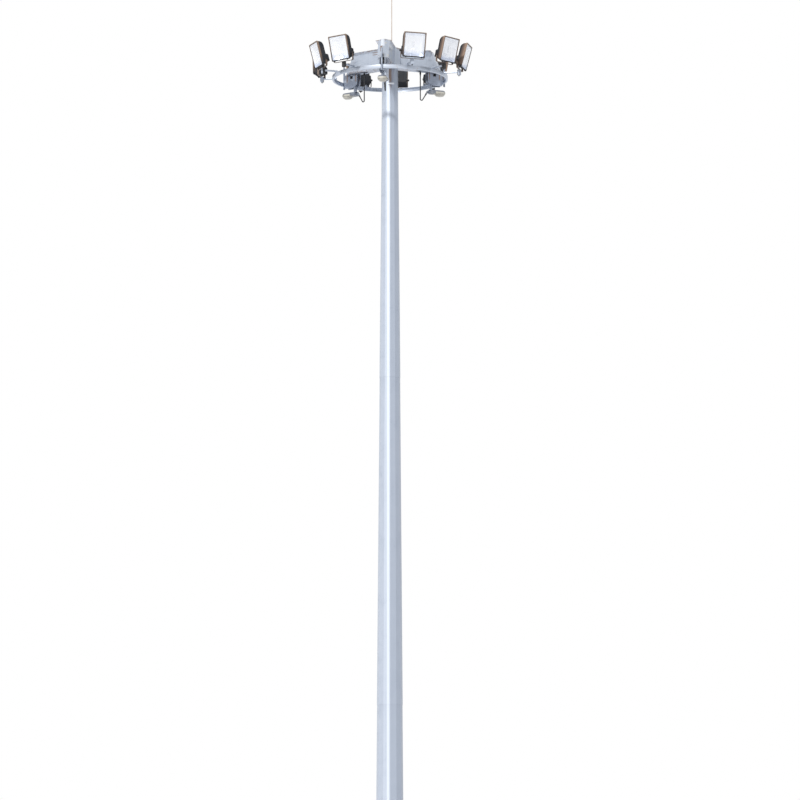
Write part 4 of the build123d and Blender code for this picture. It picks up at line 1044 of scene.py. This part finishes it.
# Glazing bead inside the frame's recess, over the edge of the glass, and the hinge
# knuckles and latches of the frame
bead_out = rounded(0.5605, 0.6105, 0.014, 4)
bead_in = rounded(0.546, 0.596, 0.008, 4)
lip_rings = ((bead_out, 0.1465), (bead_out, 0.1495), (bead_in, 0.1485), (bead_in, 0.1465))
lip = np.stack(
    [
        np.concatenate([outline, np.full((len(outline), 1), height)], 1)
        for outline, height in lip_rings
    ]
)
lip = grid(lip, close_rows=True, close_columns=True).moved(0, FACE_CENTRE)
gasket = rounded(0.543, 0.593, 0.008, 4)
gasket = np.concatenate([gasket, np.full((len(gasket), 1), 0.1468)], 1)
gasket = tube(gasket, 0.002, 8, closed=True).moved(0, FACE_CENTRE)
hinges = 0
for x in (-0.17, 0.17):
    knuckle = [(0, -0.03), (0.008, -0.03), (0.008, -0.011), (0.0065, -0.0105), (0.008, -0.01)]
    knuckle = turned(knuckle + [(r, -h) for r, h in knuckle[::-1]], 14)
    hinges += knuckle.at((x, 0.4835, 0.1075), (0, 1, 0), (0, 0, 1), (1, 0, 0))
    latch = slab(0.03, 0.05, 0.0, 0.004, 0.006) + bolt(0.006).moved(0, -0.012, 0.004)
    hinges += latch.at((x * 1.235, -0.1465, 0.13), (1, 0, 0), (0, 0, 1), (0, -1, 0))

# Gear case: upright fins, cover screws and the supply gland under it
fins = 0
for x in np.linspace(-0.24, 0.24, 13):
    fin = [(-0.066, -0.081), (0.086, -0.081), (0.079, -0.094), (-0.059, -0.094)]
    fin = prism(fin, -0.0025, 0.0025)
    fins += fin.at((x, 0, 0), (0, 1, 0), (0, 0, 1), (1, 0, 0))
case_bits = 0
for x in (-0.262, 0.262):
    for y in (-0.055, 0.075):
        screw = bolt(0.006, washer=False)
        case_bits += screw.at((x, y, -0.0815), (1, 0, 0), (0, -1, 0), (0, 0, -1))
supply = [(0, -0.004), (0.017, -0.004), (0.017, 0.012), (0.0125, 0.016), (0.0125, 0.028)]
supply = turned(supply + [(0.009, 0.033), (0, 0.033)], 6)
slope = np.array([0, -0.958, -0.287])
across = (1, 0, 0)
supply = supply.at((0.12, -0.094, -0.012), across, np.cross(slope, across), slope)
case_bits += supply

# Pivot knobs get a notched grip and a nut
grip = 0
for sign in (-1, 1):
    notch = np.arange(48) * 2 * np.pi / 48
    edge = 0.0245 + 0.0013 * np.sign(np.sin(notch * 12))
    knob = prism(np.stack([edge * np.cos(notch), edge * np.sin(notch)], 1), 0.318, 0.338)
    knob += bolt(0.012, 0.5).moved(z=0.3395)
    grip += knob.at((0, 0, 0), (0, 1, 0), (0, 0, sign), (sign, 0, 0))

for number in range(1, LAMP_COUNT + 1):
    body = f"floodlight_{number}"
    outward, sideways = level(lamp_angles[number - 1])
    tilt = math.radians(LAMP_AIMS[number - 1])
    aim = outward * math.cos(tilt) - UP * math.sin(tilt)
    place = (pivots[number - 1], sideways, np.cross(aim, sideways), aim)
    wear(nodes[f"{body}_housing"], lamp_paint)
    wear(nodes[f"{body}_glass"], glass)
    for part, shape, paint, slot, finish in (
        ("reflector", pan, mirror, "lamp_glass", {"smooth": 60}),
        ("capsule", capsule, quartz, "lamp_glass", {}),
        ("holder", holder, mirror, "lamp_casting", {}),
        ("lip", lip, trim_paint, "lamp_casting", {"smooth": 50}),
        ("gasket", gasket, rubber, "black_rubber", {}),
        ("hinges", hinges, trim_paint, "lamp_casting", {}),
        ("fins", fins, lamp_paint, "lamp_casting", {}),
        ("fittings", case_bits, lamp_paint, "lamp_casting", {}),
        ("knobs", grip, lamp_paint, "lamp_casting", {}),
    ):
        piece(f"{body}_{part}", shape.at(*place), paint, body, slot, **finish)

# Downlights: grey cast canopies with a latch each side, over ribbed polycarbonate
# bowls that the sun has turned beige
BOWL_CENTRE = 1.387
BOWL_TOP = 23.695
BOWL_DEPTH = 0.07
BOWL_LENGTH = 0.135
BOWL_WIDTH = 0.106
canopy_paint = Paint("downlight_paint", roughness=0.45, metallic=0.2)
canopy_cloud = canopy_paint.noise(9.0, 4.0)
canopy_colour = canopy_cloud.above(0.5, 0.3)
canopy_colour = canopy_paint.mix(canopy_colour, tone(116, 123, 134), tone(98, 104, 116))
canopy_marks = canopy_paint.noise(24.0, 4.0).above(0.64, 0.06)
canopy_colour = canopy_paint.mix(canopy_marks * 0.7, canopy_colour, RUST)
canopy_reach = (canopy_paint.x**2 + canopy_paint.y**2) ** 0.5
skirt = canopy_paint.z.below(BOWL_TOP + 0.045, 0.004) * canopy_reach.above(1.24, 0.01)
canopy_paint.colour(canopy_paint.mix(skirt, canopy_colour, tone(184, 182, 173)))
wear(nodes["downlight_housings"], canopy_paint)
wear(nodes["downlight_brackets"], dock_paint)
bowl_paint = Paint("bowl_plastic", roughness=0.3, coat=0.3)
bowl_cloud = bowl_paint.noise(6.0, 3.0)
bowl_paint.colour(bowl_paint.mix(bowl_cloud, tone(186, 184, 176), tone(170, 166, 156)))
# Bowl: an ellipse that shrinks as it drops by powers of cosine and sine, with flutes
ring_turn = np.arange(72) * 2 * np.pi / 72
bowl_share = np.cos(np.linspace(0, 1, 15) * np.pi / 2) ** 0.55
bowl_share[-1] = 0.02
bowl_drop = np.sin(np.linspace(0, 1, 15) * np.pi / 2) ** 1.15
flute = 1 + 0.006 * np.cos(ring_turn * 24)
bowls = 0
canopy_bits = 0
for angle in ARM_ANGLES:
    points = np.stack(
        [
            BOWL_LENGTH * bowl_share[:, None] * np.cos(ring_turn) * flute,
            BOWL_WIDTH * bowl_share[:, None] * np.sin(ring_turn) * flute,
            -BOWL_DEPTH * bowl_drop[:, None] + 0 * ring_turn,
        ],
        -1,
    )
    bowl = grid(points, close_columns=True, cap=True)
    bowls += round_mast(bowl, angle, BOWL_CENTRE, BOWL_TOP)
    rim = (BOWL_LENGTH + 0.004) * np.cos(ring_turn), (BOWL_WIDTH + 0.004) * np.sin(ring_turn)
    rim_bead = tube(np.stack([*rim, 0 * ring_turn], 1), 0.0045, 8, closed=True)
    canopy_bits += round_mast(rim_bead, angle, BOWL_CENTRE, BOWL_TOP)
    for y in (-0.121, 0.121):
        latch = slab(0.03, 0.05, -0.004, 0.004, 0.006)
        latch = latch.at((0.03, y, 0.02), (1, 0, 0), (0, 0, 1), (0, 1, 0))
        canopy_bits += round_mast(latch, angle, BOWL_CENTRE - 0.1, BOWL_TOP)
bowls = piece("bowls", bowls, bowl_paint, "luminaire_ring", "bowl_plastic", smooth=70)
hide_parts("downlight_bowls")
piece("canopy_latches", canopy_bits, canopy_paint, "luminaire_ring", "downlight_paint")

# Glands: black nylon nuts under each docking unit's shelf
wear(nodes["lead_glands"], rubber)
